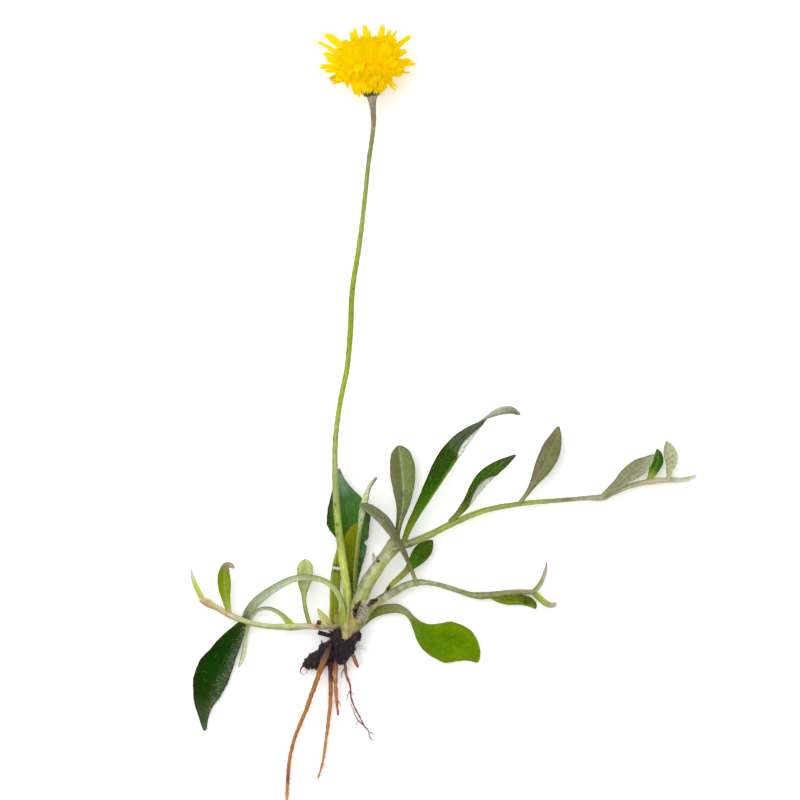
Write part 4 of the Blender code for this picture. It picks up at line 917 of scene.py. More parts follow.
leaf(
    "leaf_broad",
    stations=[(1.0, 3.0, 1.9, 0.9), (1.5, 6.5, 1.3, 0.9), (2, 11, 1.3, 0.9, 1.0), (2, 17, 1.6, 1.6, 1.8),
              (2, 21, 1.8, 1.8, 3.0), (1.9, 25, 2.0, 2.6, 4.0), (1.6, 28.3, 2.2, 4.7),
              (1.2, 31, 2.3, 5.6, 5.5), (0.5, 34.4, 2.4, 4.7, 4.9), (-0.3, 38, 2.3, 3.0, 2.7),
              (-0.9, 41, 2.1, 1.4, 1.1), (-1.25, 44, 1.8, 0.2)],
    upper=[(0, "a9ac4a"), (6, "7a8a1c"), (14, "4f7010"), (20, "4a6a1c"), (26, "426a26"), (31, "446c1c"),
           (36, "4a7230"), (40, "5a7450"), (43, "6a7c62")],
    under=[(0, "b9bf80"), (12, "93a35c"), (44, "8a9b66")],
    fold=0.1, wave=0.06, wave_count=2.5, foot=2.0, vein_gap=2.3, hairs=90, stalk_hairs=40,
    notch=(24.2, 0.22, 0.5),
    zones=[(8, 44, [(-1, "0c2404", 0.9), (-0.8, "2c5008", 0.6), (-0.55, "3f5f10", 0.5),
                    (-0.2, "50803a", 0.1), (0.15, "4c7c48", 0.3), (0.55, "3c7434", 0.5),
                    (0.85, "4f7a54", 0.6), (1, "2c4a24", 0.8)])],
    spots=[(38, 0.1, 1.6, "7aa088", 0.6), (41, 0, 1.2, "8aa494", 0.5), (22, 0.85, 1.6, "5c8a6c", 0.6),
           (31, 0.4, 1.5, "3f8020", 0.5), (28, -0.5, 1.2, "3a6a08", 0.5), (24, 0.6, 0.9, "3a5a30", 0.6)],
    shows=(0.05, 0.02, 0.03),
)
leaf(
    "leaf_yellow",
    stations=[(1.4, 4.0, 2.6, 0.6), (1.6, 6.5, 2.5, 0.6), (2, 11, 2.6, 0.8), (2.1, 16, 2.75, 1.3),
              (1.8, 21, 2.95, 1.9), (1.6, 25.2, 3.15, 2.0), (2.1, 27.4, 3.3, 1.6), (2.9, 29.2, 3.35, 0.9),
              (3.5, 30.3, 3.4, 0.2)],
    upper=[(0, "a4a83c"), (7, "8a9222"), (14, "6a760a"), (20, "768208"), (25, "848a0c"), (29, "96920e")],
    under=[(0, "b9bf80"), (28, "a8a850")],
    fold=0.1, round_tip=1.2, foot=2.0, vein_gap=2.0, hairs=24, stalk_hairs=20,
    zones=[(8, 30, [(-1, "8a8420", 0.5), (-0.5, "6e7a08", 0.0), (0.4, "5e7010", 0.3), (1, "3c5a0c", 0.7)])],
    spots=[(19, 0.4, 0.5, "4c4a08", 0.5), (22.5, -0.2, 0.4, "55500a", 0.4),
           (20, -0.7, 0.6, "4c5a08", 0.5), (26.5, 0.2, 1.0, "6c8410", 0.6), (15, 0.3, 1.0, "5a6a08", 0.6)],
    shows=(0.0, 0.03, 0.03),
)
leaf(
    "leaf_old",
    stations=[(-1.6, 3.6, 2.4, 1.0), (-2.5, 7.0, 1.6, 1.15), (-2.5, 9.8, 1.5, 1.1),
              (-2.25, 14.8, 1.15, 1.25), (-1.75, 19, 0.82, 1.3), (-1.2, 22.4, 0.65, 1.0),
              (-0.6, 26, 0.6, 0.5)],
    upper=[(0, "8e8420"), (5, "868c0c"), (9, "87911c"), (13, "909c36"), (16.6, "86922c"),
           (16.9, "2a2008"), (17.2, "3a2c10"), (17.45, "ffffff"), (17.95, "ffffff"), (18.1, "1c1606"),
           (18.4, "3a3008"), (18.8, "8f9420"), (23, "a8a428")],
    under=[(0, "b9bf80"), (24, "a8a850")],
    fold=0.1, round_tip=1.2, foot=2.2, vein_gap=2.0, hairs=16, stalk_hairs=50,
    zones=[(2, 25, [(-1, "b4bc4c", 0.6), (-0.6, "98a43a", 0.3), (0, "7c8818", 0.2), (1, "6a780c", 0.6)])],
    shows=(0.1, 0.0, 0.0),
)
leaf(
    "leaf_folded",
    stations=[(2.4, 4.4, 3.4, 0.4), (3.1, 6.5, 3.3, 0.4), (3.15, 11, 3.6, 0.4), (3.1, 18, 4.35, 0.42),
              (3.65, 24, 5.25, 0.4), (4.0, 29, 5.8, 0.65), (4.4, 33, 5.6, 1.1), (5.2, 36.5, 5.5, 1.05),
              (6.4, 39.5, 5.5, 0.6), (8.4, 41.6, 5.2, 0.15)],
    turn=[60, 60, 80, 100, 112, 130, 138, 135, 130, 120],
    upper=[(0, "a9ac4a"), (14, "6e8a2a"), (38, "7e9a4a")],
    under=[(0, "8c8e34"), (10, "5f7620"), (17.5, "708211"), (21, "7a8a20"), (24, "84943c"),
           (27, "9ca868"), (30, "b0b888"), (33, "bcc498"), (37, "ccd0aa"), (41, "a8ac84")],
    fold=0.3, foot=1.0, vein_gap=2.0, stalk_hairs=20,
    zones=[(27, 43, [(-1, "7d8c58", 0.7), (-0.5, "c2c89c", 0.1), (1, "dfe2c6", 0.4)])],
    shows=(0.25, 0.1, 0.1),
)
leaf(
    "leaf_arched",
    stations=[(0.15, 2.6, 5.7, 0.7), (-0.1, 5.9, 5.9, 0.75), (-0.25, 8.5, 6.3, 0.75),
              (-1, 11.7, 6.7, 0.72), (-2.75, 14.4, 6.8, 0.7), (-5.5, 16.1, 6.8, 0.72),
              (-8.75, 16.7, 6.5, 0.75), (-12, 16.5, 6.0, 0.8), (-15.25, 15.2, 5.2, 0.9),
              (-18.5, 13.2, 4.1, 1.05), (-21.5, 10.9, 2.7, 1.15), (-23.8, 8.25, 1.45, 1.1),
              (-25.0, 5.6, 1.1, 1.0, 1.1), (-26.3, 3, 1.0, 1.5, 2.1), (-27.7, 0.6, 0.9, 2.1, 3.1),
              (-29.9, -3, 0.85, 3.0, 3.9), (-32.2, -7, 0.8, 3.9, 4.8), (-33.9, -11.5, 0.75, 3.5, 4.2),
              (-34.9, -15.3, 0.6, 2.2, 2.7), (-35.1, -18.5, 0.5, 1.1, 1.4), (-35.0, -22.0, 0.4, 0.5, 0.4)],
    upper=[(0, "9a9444"), (6, "98a338"), (12, "a2ad64"), (20, "aeb884"), (28, "b4be98"), (36, "b0bc98"),
           (39.5, "8c9c70"), (42, "4a6430"), (45, "224010"), (50, "14380a"), (58, "163808"),
           (63, "20380a"), (68, "4a5a3a")],
    under=[(0, "a8aa62"), (14, "a3b78c"), (34, "8fa183"), (68, "8b9c72")],
    fold=0.08, wave=0.05, wave_count=5, round_tip=0.9, foot=1.5, vein_gap=2.5, hairs=26, stalk_hairs=60,
    zones=[(8, 41, [(-1, "d0d8b4", 0.5), (0, "b4be98", 0.0), (0.5, "8a9a68", 0.4), (1, "5c6c40", 0.7)]),
           (41.5, 70, [(-1, "1c2c10", 0.85), (-0.85, "44583a", 0.8), (-0.5, "38502c", 0.75),
                       (-0.15, "24440e", 0.4), (0.3, "143c02", 0.2), (0.85, "0e3002", 0.4),
                       (0.94, "3c2408", 0.7), (1, "140c02", 0.8)])],
    spots=[(44, 0.1, 1.1, "3c3a14", 0.6), (47, -0.3, 1.0, "2a3410", 0.5), (55, 0.3, 2.0, "0a4402", 0.5),
           (69, 0, 1.4, "3a4a26", 0.6)],
    shows=(0.0, 0.04, 0.0), combed=190,
)
leaf(
    "leaf_bright",
    stations=[(2.6, 3.6, 2.4, 1.0), (4.7, 5.5, 1.8, 1.1), (6.3, 7.0, 1.7, 1.2), (8.5, 8.1, 1.7, 1.2),
              (11.2, 8.75, 1.8, 1.2), (13.5, 8.75, 2.0, 1.1), (15.5, 7.9, 2.0, 0.8),
              (17, 6.3, 1.7, 0.75, 0.8), (18.6, 4.2, 1.4, 1.6), (20.8, 2.2, 1.1, 3.2, 3.3),
              (23.5, 0.9, 0.9, 4.6, 4.5), (26.6, 0.0, 0.8, 5.4, 5.0), (29.6, -1.3, 0.7, 4.8, 3.8),
              (31.9, -3.0, 0.6, 3.0, 1.8), (33.6, -4.8, 0.45, 0.5, 0.3)],
    upper=[(0, "98922c"), (4, "868a14"), (9, "787a24"), (14, "8c8d5d"), (17, "8a8e60"), (19.5, "7c8a44"),
           (22, "668a14"), (25, "5d8208"), (29, "567c00"), (33, "608200"), (37, "6c8a06")],
    under=[(0, "a8a83c"), (14, "98a276"), (36, "9aa86c")],
    fold=0.08, wave=0.05, wave_count=4, round_tip=0.6, foot=2.2, vein_gap=2.6, hairs=30, stalk_hairs=50,
    zones=[(0, 19, [(-1, "5e6a20", 0.7), (-0.4, "8e9250", 0.1), (0.4, "9a9a50", 0.1), (1, "4f6408", 0.7)]),
           (20, 40, [(-1, "6c7a08", 0.8), (-0.8, "6f8e04", 0.7), (-0.3, "5c8002", 0.2),
                     (0, "6c9014", 0.2), (0.4, "568004", 0.3), (0.8, "6b8c0a", 0.6), (1, "5a7a08", 0.6)])],
    spots=[(27, -0.6, 1.8, "7c8c00", 0.5), (25, 0.1, 1.8, "4c7800", 0.5), (34, 0.3, 1.8, "708c04", 0.5),
           (31, -0.4, 1.6, "5c8400", 0.4)],
    shows=(0.0, 0.02, 0.02),
)
hairs_of_leaves("rosette", "leaf_dark", 73)


# Dead leaf bases stay on the crown as short curled brown scales with tufts of pale silky hair,
# and torn pale sheaths wrap its neck, where this year's leaves and stems come out.
withered_skin, tree, shader, tint = plain("withered scale", 0.85, Specular_IOR_Level=0.15)
toned = mottled(tree, tint, size=900.0, amount=1.1, flecks=0.9)
tree.links.new(toned["Colour"], shader.inputs["Base Color"])
roughen(tree, shader, toned["Height"], strength=0.4, depth=0.00015)


SCALE_HALF_THICKNESS = 0.06


def thin_scale(name, stations, colours, droop, seed):
    """A thin scale whose margins turn down by the droop, ribbed lengthwise, with a torn end.

    A station is x, y, z, half width and turn. Returns the piece, its middle sheet and the unit
    vectors that its hairs leave along.
    """
    rows, along = smooth(stations, 0.15)
    _, side, normal = directions(rows[:, :3], rows[:, 4])
    s = np.linspace(-1, 1, 15)[None]
    taper = np.sqrt(np.clip(1 - (along / along[-1])[:, None] ** 6, 0.01, 1))
    torn = 1 + 0.12 * np.sin(along[:, None] * 5 + 3 * s + seed)
    half = rows[:, 3:4] * taper * torn
    sheet = rows[:, None, :3] + side[:, None] * (half * s)[..., None]
    ribbing = np.cos(9 * s + 0.5 * along[:, None] + seed)
    sheet += normal[:, None] * (0.05 * ribbing - droop * half * s**2)[..., None]
    thick = normal[:, None] * SCALE_HALF_THICKNESS
    rings = np.concatenate([sheet + thick, (sheet - thick)[:, ::-1]], axis=1)
    # The colour follows the ribs: painted highlight on their crests and painted shade between them.
    shade = 1 + 0.16 * ribbing
    colour = graded(colours, along)[:, None] * shade[..., None]
    out = np.broadcast_to(unit(normal[:, None] + side[:, None] * s[..., None]), sheet.shape)
    both_faces = np.concatenate([colour, colour[:, ::-1]], axis=1)[None]
    return skin(name, rings[None], withered_skin, "withered", tint=both_faces), sheet, out


base_scale, base_sheet, base_out = thin_scale(
    "withered_base_scale",
    [(3.0, 6.4, 7.6, 0.5, 0), (3.3, 8.0, 8.1, 1.15, 0), (3.9, 9.6, 8.2, 1.25, 0), (4.4, 11.2, 8.0, 0.5, 0)],
    [(0, "5a4024"), (1.2, "2c2010"), (3, "342616"), (5, "4e3e26")], droop=0.35, seed=0,
)
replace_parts(base_scale, "withered_base")
small_scale, small_sheet, small_out = thin_scale(
    "withered_small_scale",
    [(6.0, 9.4, 4.5, 0.4, 0), (7, 10.5, 4.9, 0.7, 0), (8.5, 11.3, 4.8, 0.3, 0)],
    [(0, "6a4a2c"), (1.2, "4e3a14"), (3, "3a2818")], droop=0.35, seed=3,
)
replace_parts(small_scale, "withered_scale")
fur(
    "withered_hairs", "withered",
    [(base_sheet[:, 7:], base_out[:, 7:] + np.array([0.8, -0.9, 0]), 170, 0.9, 3.0, 0.026),
     (base_sheet, base_out, 60, 0.5, 1.5, 0.02), (small_sheet, small_out, 40, 0.4, 1.1, 0.02)],
    code="e8dfcc", seed=74,
)

# The neck: the clasping bases of this year's leaves and stems, grown together in a smooth fan
# that narrows to a point in the bark. Its point and its top are y, and it widens by the spread.
NECK_POINT = 0.6
NECK_TOP = 7.6
NECK_SPREAD = 0.66
NECK_ROWS = 40
NECK_COLUMNS = 41
t = np.linspace(0, 1, NECK_ROWS)[:, None]
s = np.linspace(-1, 1, NECK_COLUMNS)[None]
y = NECK_POINT + (NECK_TOP - NECK_POINT) * t
half = 0.12 + NECK_SPREAD * (y - NECK_POINT)
bases = np.abs(np.cos(2.5 * np.pi * (s + 0.09 * np.sin(3 * t + 1)) + 0.5))
rounded = 0.34 * (bases**0.6 - 0.5) * np.clip(3 * t, 0, 1)
left_fall = 2.6 * np.clip(-s, 0, 1) * t**1.5
far_fall = 3.2 * np.clip(2 * t - 1, 0, 1) ** 1.6
z = 6.55 - 0.9 * np.abs(s) ** 2.4 - left_fall - far_fall + rounded
x = 0.3 + 0.35 * t + half * s * np.where(s < 0, 0.85, 1)
x += 0.12 * wander(np.stack([x, y + 0 * s, 0 * x], axis=-1), 2.4, 4)
upper_face = np.stack([x, y + 0 * s, np.maximum(z, 0.9)], axis=-1)
lower_face = np.stack([0.5 + 0.9 * (x - 0.5), y + 0 * s, np.maximum(z - 1.6, 0.6)], axis=-1)
neck_rings = np.concatenate([upper_face, lower_face[:, ::-1]], axis=1)
NECK_ACROSS = [(-1, "6c5c18"), (-0.7, "857a24"), (-0.3, "94904a"), (0.1, "a89c60"),
               (0.45, "9c9448"), (0.8, "7c7628"), (1, "5d4a13")]
NECK_UP = [(0, "2c1c10"), (0.1, "5a4424"), (0.22, "8a7444"), (0.5, "a09458"), (1, "98963c")]
across = graded(NECK_ACROSS, s[0])[None]
up = graded(NECK_UP, t[:, 0])[:, None]
# Painted shade in the grooves between the rounded bases, which are darker than the bases themselves. The
# neck is also darker towards its point in the bark.
neck_tint = (0.5 * across + 0.5 * up) * (0.55 + 0.45 * np.clip(1.6 * bases, 0, 1))[..., None]
neck_tint = neck_tint * (1 - 0.75 * np.clip(1 - 5 * t, 0, 1)[..., None])
neck_tint = np.concatenate([neck_tint, neck_tint[:, ::-1]], axis=1)
neck_down = np.full((1, *neck_rings.shape[:2], 1), 0.12)
skin("neck_bases", neck_rings[None], stem_skin, "leaf_yellow", tint=neck_tint[None], down=neck_down)

# Pinkish silky fibres stick out on the left of the neck, and grey ones hang on its right.
PINK_FIBRES = 34
GREY_FIBRES = 20
draw = np.random.default_rng(31)
left_roots = np.array([-3.1, 3.9, 5.0]) + draw.normal(size=(PINK_FIBRES, 3)) * (0.7, 0.7, 0.3)
left_ways = unit(draw.normal(size=(PINK_FIBRES, 3)) * 0.7 + (-0.6, 0.8, 0.4))
right_roots = np.array([2.9, 0.6, 4.4]) + draw.normal(size=(GREY_FIBRES, 3)) * (0.4, 1.2, 0.4)
right_ways = unit(draw.normal(size=(GREY_FIBRES, 3)) * 0.5 + (0.6, -0.9, 0.1))
left_lengths = draw.uniform(0.8, 2.0, PINK_FIBRES)
pink = strands(left_roots, left_ways, left_lengths, 0.04, draw.normal(size=(PINK_FIBRES, 3)) * 0.3)
right_lengths = draw.uniform(1.2, 4.2, GREY_FIBRES)
grey = strands(right_roots, right_ways, right_lengths, 0.035, draw.normal(size=(GREY_FIBRES, 3)) * 0.25)
fibre_tint = np.concatenate([all_over("c8a898", pink), all_over("8a7a80", grey)])
skin("neck_fibres", np.concatenate([pink, grey]), hair, "withered", tint=fibre_tint)

# Small bud scales sit on the runners: a brown one by the crown, a whitish pointed one on the upper
# runner and a black one where the dark leaf leaves the lower runner.
BUD_SCALES = {
    "left": (
        [(-5.6, 5.7, 4.3, 0.3, 0), (-6.2, 5.4, 4.6, 0.75, 0), (-6.9, 5.05, 4.5, 0.2, 0)],
        ("8a6244", "5a3018", "7a4a2c"),
    ),
    "upper": (
        [(8.0, 20.3, 5.9, 0.5, 0), (7.6, 21.4, 6.3, 0.55, 0), (7.2, 23.1, 6.1, 0.12, 0)],
        ("8a8a60", "d4d0b4", "c0b09c"),
    ),
    "upper_low": (
        [(9.3, 20.2, 6.6, 0.3, 0), (8.7, 20.7, 6.8, 0.4, 0), (8.1, 20.9, 6.6, 0.1, 0)],
        ("6a6440", "2e2814", "3a3220"),
    ),
    "lower": (
        [(10.8, 13.2, 3.9, 0.26, 0), (11.1, 13.9, 4.15, 0.34, 0), (11.6, 14.6, 4.1, 0.1, 0)],
        ("2c2418", "14100c", "241c12"),
    ),
}
for number, (name, (stations, codes)) in enumerate(BUD_SCALES.items()):
    thin_scale("bud_scale_" + name, stations, list(zip((0, 0.8, 2), codes)), droop=0.4, seed=5 + number)


# The leaves of the lower runner: a long grey one that arches up over the others and shows its
# felted underside, a dark one, and three small ones at the end.
DARK_UNDER = [(0, "a3ad72"), (60, "9aa878")]
leaf(
    "leaf_grey",
    stations=[(18.15, 15.05, 3.5, 0.5), (17.2, 17.8, 5.6, 0.5), (16.2, 20.4, 6.9, 0.55),
              (15, 23, 7.9, 0.7), (13.4, 26, 8.5, 0.9), (11.8, 28.6, 8.7, 1.25), (10, 31, 8.6, 1.4),
              (7.9, 32.9, 8.5, 1.3), (5.8, 34.2, 8.2, 1.1), (3.9, 34.9, 7.6, 0.7)],
    upper=[(0, "6c7c48"), (28, "5c7034")],
    under=[(0, "a0a858"), (3.8, "848c44"), (6.8, "5c6434"), (9.8, "54582c"), (14.8, "525436"),
           (20.8, "666844"), (24.8, "687048"), (28.8, "8a946c")],
    turn=180, fold=0.15, round_tip=0.9, foot=0.3, vein_gap=1.8, stalk_hairs=20,
    zones=[(4.8, 31, [(-1, "3a3a20", 0.7), (-0.5, "5c5c3e", 0.3), (0, "46462c", 0.4),
                      (0.4, "74765a", 0.4), (1, "8a8c6c", 0.6)])],
    spots=[(13.8, 0.1, 0.5, "2c2a18", 0.6), (18.8, -0.3, 0.5, "34321c", 0.6),
           (22.8, 0.2, 0.4, "3a3820", 0.6), (25.8, -0.2, 0.5, "4a4a34", 0.5)],
)
leaf(
    "leaf_dark",
    stations=[(10.5, 12.8, 3.6, 0.5), (11.3, 14.1, 3.9, 0.62), (12.5, 15.4, 3.7, 0.68),
              (14, 16.7, 3.5, 0.75), (16, 18.7, 3.1, 0.9), (17.4, 20.3, 2.8, 1.5), (18.9, 22.2, 2.4, 2.1),
              (20.5, 24, 2.1, 1.9), (22.2, 25.9, 1.8, 0.4)],
    upper=[(0, "7c8450"), (3, "8e9640"), (6, "8e983e"), (8.4, "86923c"), (9.6, "527c1c"),
           (10.8, "306c04"), (14, "3c5a08"), (17, "485c0e")],
    under=DARK_UNDER,
    fold=0.15, wave=0.05, foot=0.5, vein_gap=1.7, hairs=30, stalk_hairs=26,
    zones=[(8.6, 20, [(-1, "4a3c10", 0.8), (-0.6, "346c08", 0.3), (0, "2f7006", 0.2),
                      (0.6, "3f5c0c", 0.4), (1, "54501a", 0.8)])],
    spots=[(13.5, 0.3, 0.6, "3c3a0c", 0.7), (11, -0.2, 0.8, "2c7802", 0.5)],
    shows=(0.05, 0.04, 0.04),
)
leaf(
    "leaf_hanging",
    stations=[(37.0, 11.8, 1.6, 0.7), (38.5, 11.5, 1.5, 1.1), (41, 11.2, 1.2, 1.5),
              (43.8, 11.0, 1.0, 1.3), (46.2, 10.5, 0.9, 1.2), (47.4, 9.7, 0.85, 0.9),
              (48.0, 8.6, 0.8, 0.35)],
    upper=[(0, "8a8a48"), (3, "76801c"), (7, "64740f"), (9.5, "4c5c0a"), (12, "5c7010"), (14, "54640c")],
    under=DARK_UNDER,
    fold=0.15, wave=0.08, round_tip=0.7, vein_gap=1.5, hairs=16, stalk_hairs=12,
    zones=[(1, 16, [(-1, "5a6a10", 0.3), (0, "6a7c10", 0.1), (0.6, "8a9c20", 0.4), (1, "3c4c06", 0.8)])],
    spots=[(9.6, 0.3, 0.7, "2c3c06", 0.8)],
    shows=(0.05, 0.02, 0.02),
)
leaf(
    "leaf_rising",
    stations=[(47.9, 13.4, 1.7, 0.6), (49, 14.8, 2.0, 0.6), (49.9, 16.6, 2.2, 0.5),
              (50.4, 18.2, 2.3, 0.42), (50.8, 20.4, 2.3, 0.12)],
    upper=[(0, "9a9c48"), (3, "a4a66c"), (6, "b8ae90"), (8, "c0a898")],
    under=[(0, "a6b05c"), (8, "c6b6a6")],
    fold=0.25, vein_gap=1.5, stalk_hairs=14,
    zones=[(0, 9, [(-1, "7c7c3c", 0.5), (0, "a4a66c", 0.0), (1, "d0ccb0", 0.5)])],
)
leaf(
    "leaf_blunt",
    stations=[(47.6, 12.6, 1.6, 0.75), (49.3, 11.1, 1.35, 0.75), (50.8, 9.95, 1.15, 0.75),
              (52.2, 9.6, 1.1, 0.6), (53.2, 10.2, 1.1, 0.45)],
    upper=[(0, "8e9040"), (2, "a0aa3c"), (4.5, "b4ba66"), (6, "b6b290"), (7.5, "c4b8ac")],
    under=[(0, "a9b850"), (6.5, "cfc6b4")],
    fold=0.25, round_tip=0.5, vein_gap=1.5, stalk_hairs=14,
    zones=[(0, 9, [(-1, "d4d890", 0.5), (0, "b4ba66", 0.0), (1, "6c7820", 0.6)])],
)
hairs_of_leaves("lower_runner", "leaf_underside", 75)


# The leaves of the upper runner: a felted one seen from below, a long dark one whose margin has
# rolled over and whose end is twisted to show its white underside, a narrow one rolled the same
# way, an olive and a silver one seen from below, and three young ones round the growing tip.
leaf(
    "leaf_felted",
    stations=[(13.2, 26, 5.2, 0.55), (13.5, 28.5, 5.4, 0.7), (14, 31, 5.4, 0.85, 0.95),
              (14.6, 33.5, 5.3, 1.3, 1.5), (14.9, 36, 5.1, 1.9, 2.1), (14.9, 39, 4.9, 2.6, 2.75),
              (14.6, 43.5, 4.5, 3.2, 3.1), (14.2, 46.5, 4.1, 2.9, 2.65), (13.9, 48.4, 3.8, 2.3, 2.1),
              (13.7, 49.7, 3.6, 1.6, 1.5)],
    upper=[(0, "6c7c48"), (24, "4c6c24")],
    under=[(0, "7a8048"), (3, "485020"), (6, "434b18"), (9, "4a561e"), (13, "56662a"), (18, "5e6e34"),
           (24, "5c6c34")],
    turn=180, fold=0.12, wave=0.04, round_tip=2.4, foot=0.9, vein_gap=2.6, stalk_hairs=16,
    zones=[(3, 26, [(-1, "4c5c24", 0.5), (-0.5, "6a8038", 0.8), (-0.16, "6c7e42", 0.6),
                    (-0.05, "8c9c64", 0.8), (0.05, "8c9c64", 0.8), (0.16, "445020", 0.7),
                    (0.5, "3f4c1a", 0.8), (0.85, "565228", 0.6), (0.95, "74402e", 0.85),
                    (1, "3a2014", 0.85)])],
    spots=[(12.5, 0.15, 0.7, "34340f", 0.7), (9, 0.7, 0.8, "5a3422", 0.7),
           (7.5, -0.5, 0.5, "3a4414", 0.6), (17, 0.5, 0.7, "464e20", 0.5)],
    shows=(0.1, 0.04, 0.04),
)
leaf(
    "leaf_long",
    stations=[(15.2, 26.4, 5.2, 0.7), (16.2, 29, 5.5, 0.85), (17.8, 32.2, 5.9, 1.05),
              (20.3, 36.8, 6.4, 1.5), (22.7, 41.3, 6.8, 2.0), (25.2, 45.8, 7.0, 2.4),
              (27.9, 49.6, 7.0, 2.4), (30.9, 52.9, 6.8, 2.1), (33.9, 55.6, 6.6, 1.6),
              (36.6, 57.5, 6.4, 1.35), (39.3, 58.5, 6.2, 1.25), (41.8, 58.6, 6.0, 1.05),
              (44.0, 57.3, 5.6, 0.3)],
    turn=[0, 0, 0, 0, 0, 5, 18, 42, 75, 115, 140, 150, 155],
    upper=[(0, "8e9a34"), (5, "74881e"), (9, "4c6c0a"), (14, "305a02"), (20, "2c4c0c"), (27, "2e4e12"),
           (32, "5c6c50"), (37, "74806c"), (46, "74806a")],
    under=[(0, "a0aa48"), (20, "d8e4c8"), (30, "eef4ea"), (35, "c8d0c0"), (38, "a8ae9c"), (41, "a4ac98"),
           (44, "8c947c"), (47, "70745a")],
    fold=0.22, wave=0.03, wave_count=3, round_tip=1.2, foot=0.9, vein_gap=2.4, hairs=30, stalk_hairs=30,
    zones=[(1, 26, [(-1, "0f2402", 0.85), (-0.75, "2a4c08", 0.5), (0, "2e5808", 0.1),
                    (0.6, "2c5c06", 0.2), (0.78, "54801c", 0.7), (1, "84a03c", 0.85)]),
           (26, 48, [(-1, "3c4820", 0.6), (0, "8a9278", 0.1), (1, "dfe4d4", 0.4)])],
    shows=(0.02, 0.05, 0.05), rolled=(24.5, 38.5, 0.85),
)
leaf(
    "leaf_narrow",
    stations=[(28.1, 32.2, 4.5, 0.7), (29.4, 33.6, 4.8, 0.9), (30.9, 35.6, 5.0, 1.15),
              (32.5, 38.3, 5.2, 1.5), (34.4, 41, 5.4, 1.8), (36.9, 43.3, 5.3, 1.7),
              (39.6, 45.1, 5.1, 1.25), (43.0, 47.3, 4.7, 0.25)],
    upper=[(0, "8a9244"), (4, "667420"), (7, "44560c"), (10, "3c5a0c"), (14, "345c08"), (18, "34560e"),
           (22, "4a5a2c"), (25, "3a3c2c")],
    under=[(0, "a3ad72"), (6, "f4f8f0"), (16, "eaf0e4"), (24, "a4ac94")],
    wave=0.05, round_tip=0.7, foot=2.4, vein_gap=2.0, hairs=30, stalk_hairs=24,
    zones=[(4, 26, [(-1, "1c3404", 0.8), (-0.6, "3c5c10", 0.2), (0, "345c08", 0.0), (0.6, "3c6010", 0.3),
                    (1, "2c3c10", 0.7)])],
    spots=[(18, -0.2, 1.0, "3c6c10", 0.5), (21, 0.3, 0.8, "243c08", 0.6)],
    shows=(0.08, 0.12, 0.08), rolled=(5.5, 17, 0.9),
)
leaf(
    "leaf_olive",
    stations=[(44.6, 36.1, 3.6, 0.5), (45.9, 37.8, 3.9, 0.6), (47.3, 40, 4.1, 0.95),
              (48.9, 42.7, 4.2, 1.8), (50.6, 45.8, 4.2, 2.4), (51.9, 48.8, 4.0, 2.35),
              (52.9, 51.6, 3.7, 1.6), (53.7, 54.5, 3.2, 0.3)],
    upper=[(0, "8a9a3c"), (20, "3f6410")],
    under=[(0, "8e8858"), (4, "86805a"), (9, "706c46"), (13, "6a6a44"), (18, "5e6236"), (22, "787040")],
    turn=180, fold=0.15, wave=0.04, foot=1.4, vein_gap=2.2, stalk_hairs=16,
    zones=[(3, 24, [(-1, "4a5820", 0.6), (-0.5, "6c7639", 0.6), (-0.1, "7a7e50", 0.4),
                    (0.2, "565034", 0.5), (0.6, "6a604a", 0.6), (1, "4c3e2a", 0.7)])],
    spots=[(22.3, 0, 0.9, "8c4a30", 0.7), (13, 0.9, 0.4, "2c2818", 0.6), (12, 0.3, 0.4, "38341e", 0.6),
           (15, -0.3, 0.4, "3c4018", 0.6), (17, 0.4, 0.5, "3e3a22", 0.6), (9, -0.2, 0.4, "46422a", 0.5),
           (14, 0.6, 0.4, "7a6a50", 0.6)],
    shows=(0.08, 0.04, 0.04),
)
leaf(
    "leaf_silver",
    stations=[(65.6, 37.6, 3.4, 0.8), (66.8, 38.7, 3.6, 0.95), (68.5, 40, 3.9, 1.3),
              (70.2, 41.6, 4.0, 1.75), (72.3, 43.2, 4.0, 2.1), (74.4, 44.6, 3.9, 2.0),
              (76.1, 45.9, 3.7, 1.3), (77.6, 47.4, 3.4, 0.3)],
    upper=[(0, "8a9a3c"), (14, "3f7410")],
    under=[(0, "8a8c62"), (4, "7c7e5a"), (8, "7c8064"), (12, "8a9072"), (16, "9ca484")],
    turn=180, fold=0.15, wave=0.04, foot=0.9, vein_gap=2.0, stalk_hairs=12,
    zones=[(2, 18, [(-1, "b4ba94", 0.7), (-0.6, "a4aa84", 0.5), (-0.1, "8a8c6c", 0.2),
                    (0.3, "767a58", 0.5), (1, "6c7050", 0.6)])],
    shows=(0.1, 0.06, 0.06),
)
leaf(
    "leaf_young_dark",
    stations=[(76.4, 41.3, 2.2, 0.6), (77.0, 42.4, 2.3, 0.95), (77.8, 44.1, 2.2, 1.35),
              (78.6, 45.8, 2.0, 1.4), (78.7, 47.3, 1.9, 0.95), (78.4, 48.8, 1.9, 0.3)],
    upper=[(0, "a0a84c"), (2, "7c982c"), (4, "40700a"), (6.5, "346008"), (9, "4a5c13")],
    under=DARK_UNDER,
    foot=0.7, hairs=10,
    zones=[(2.5, 10, [(-1, "5c7c14", 0.6), (-0.3, "3c6c08", 0.2), (0.5, "2c5206", 0.5),
                      (1, "24400a", 0.8)])],
    shows=(0.15, 0.05, 0.05),
)
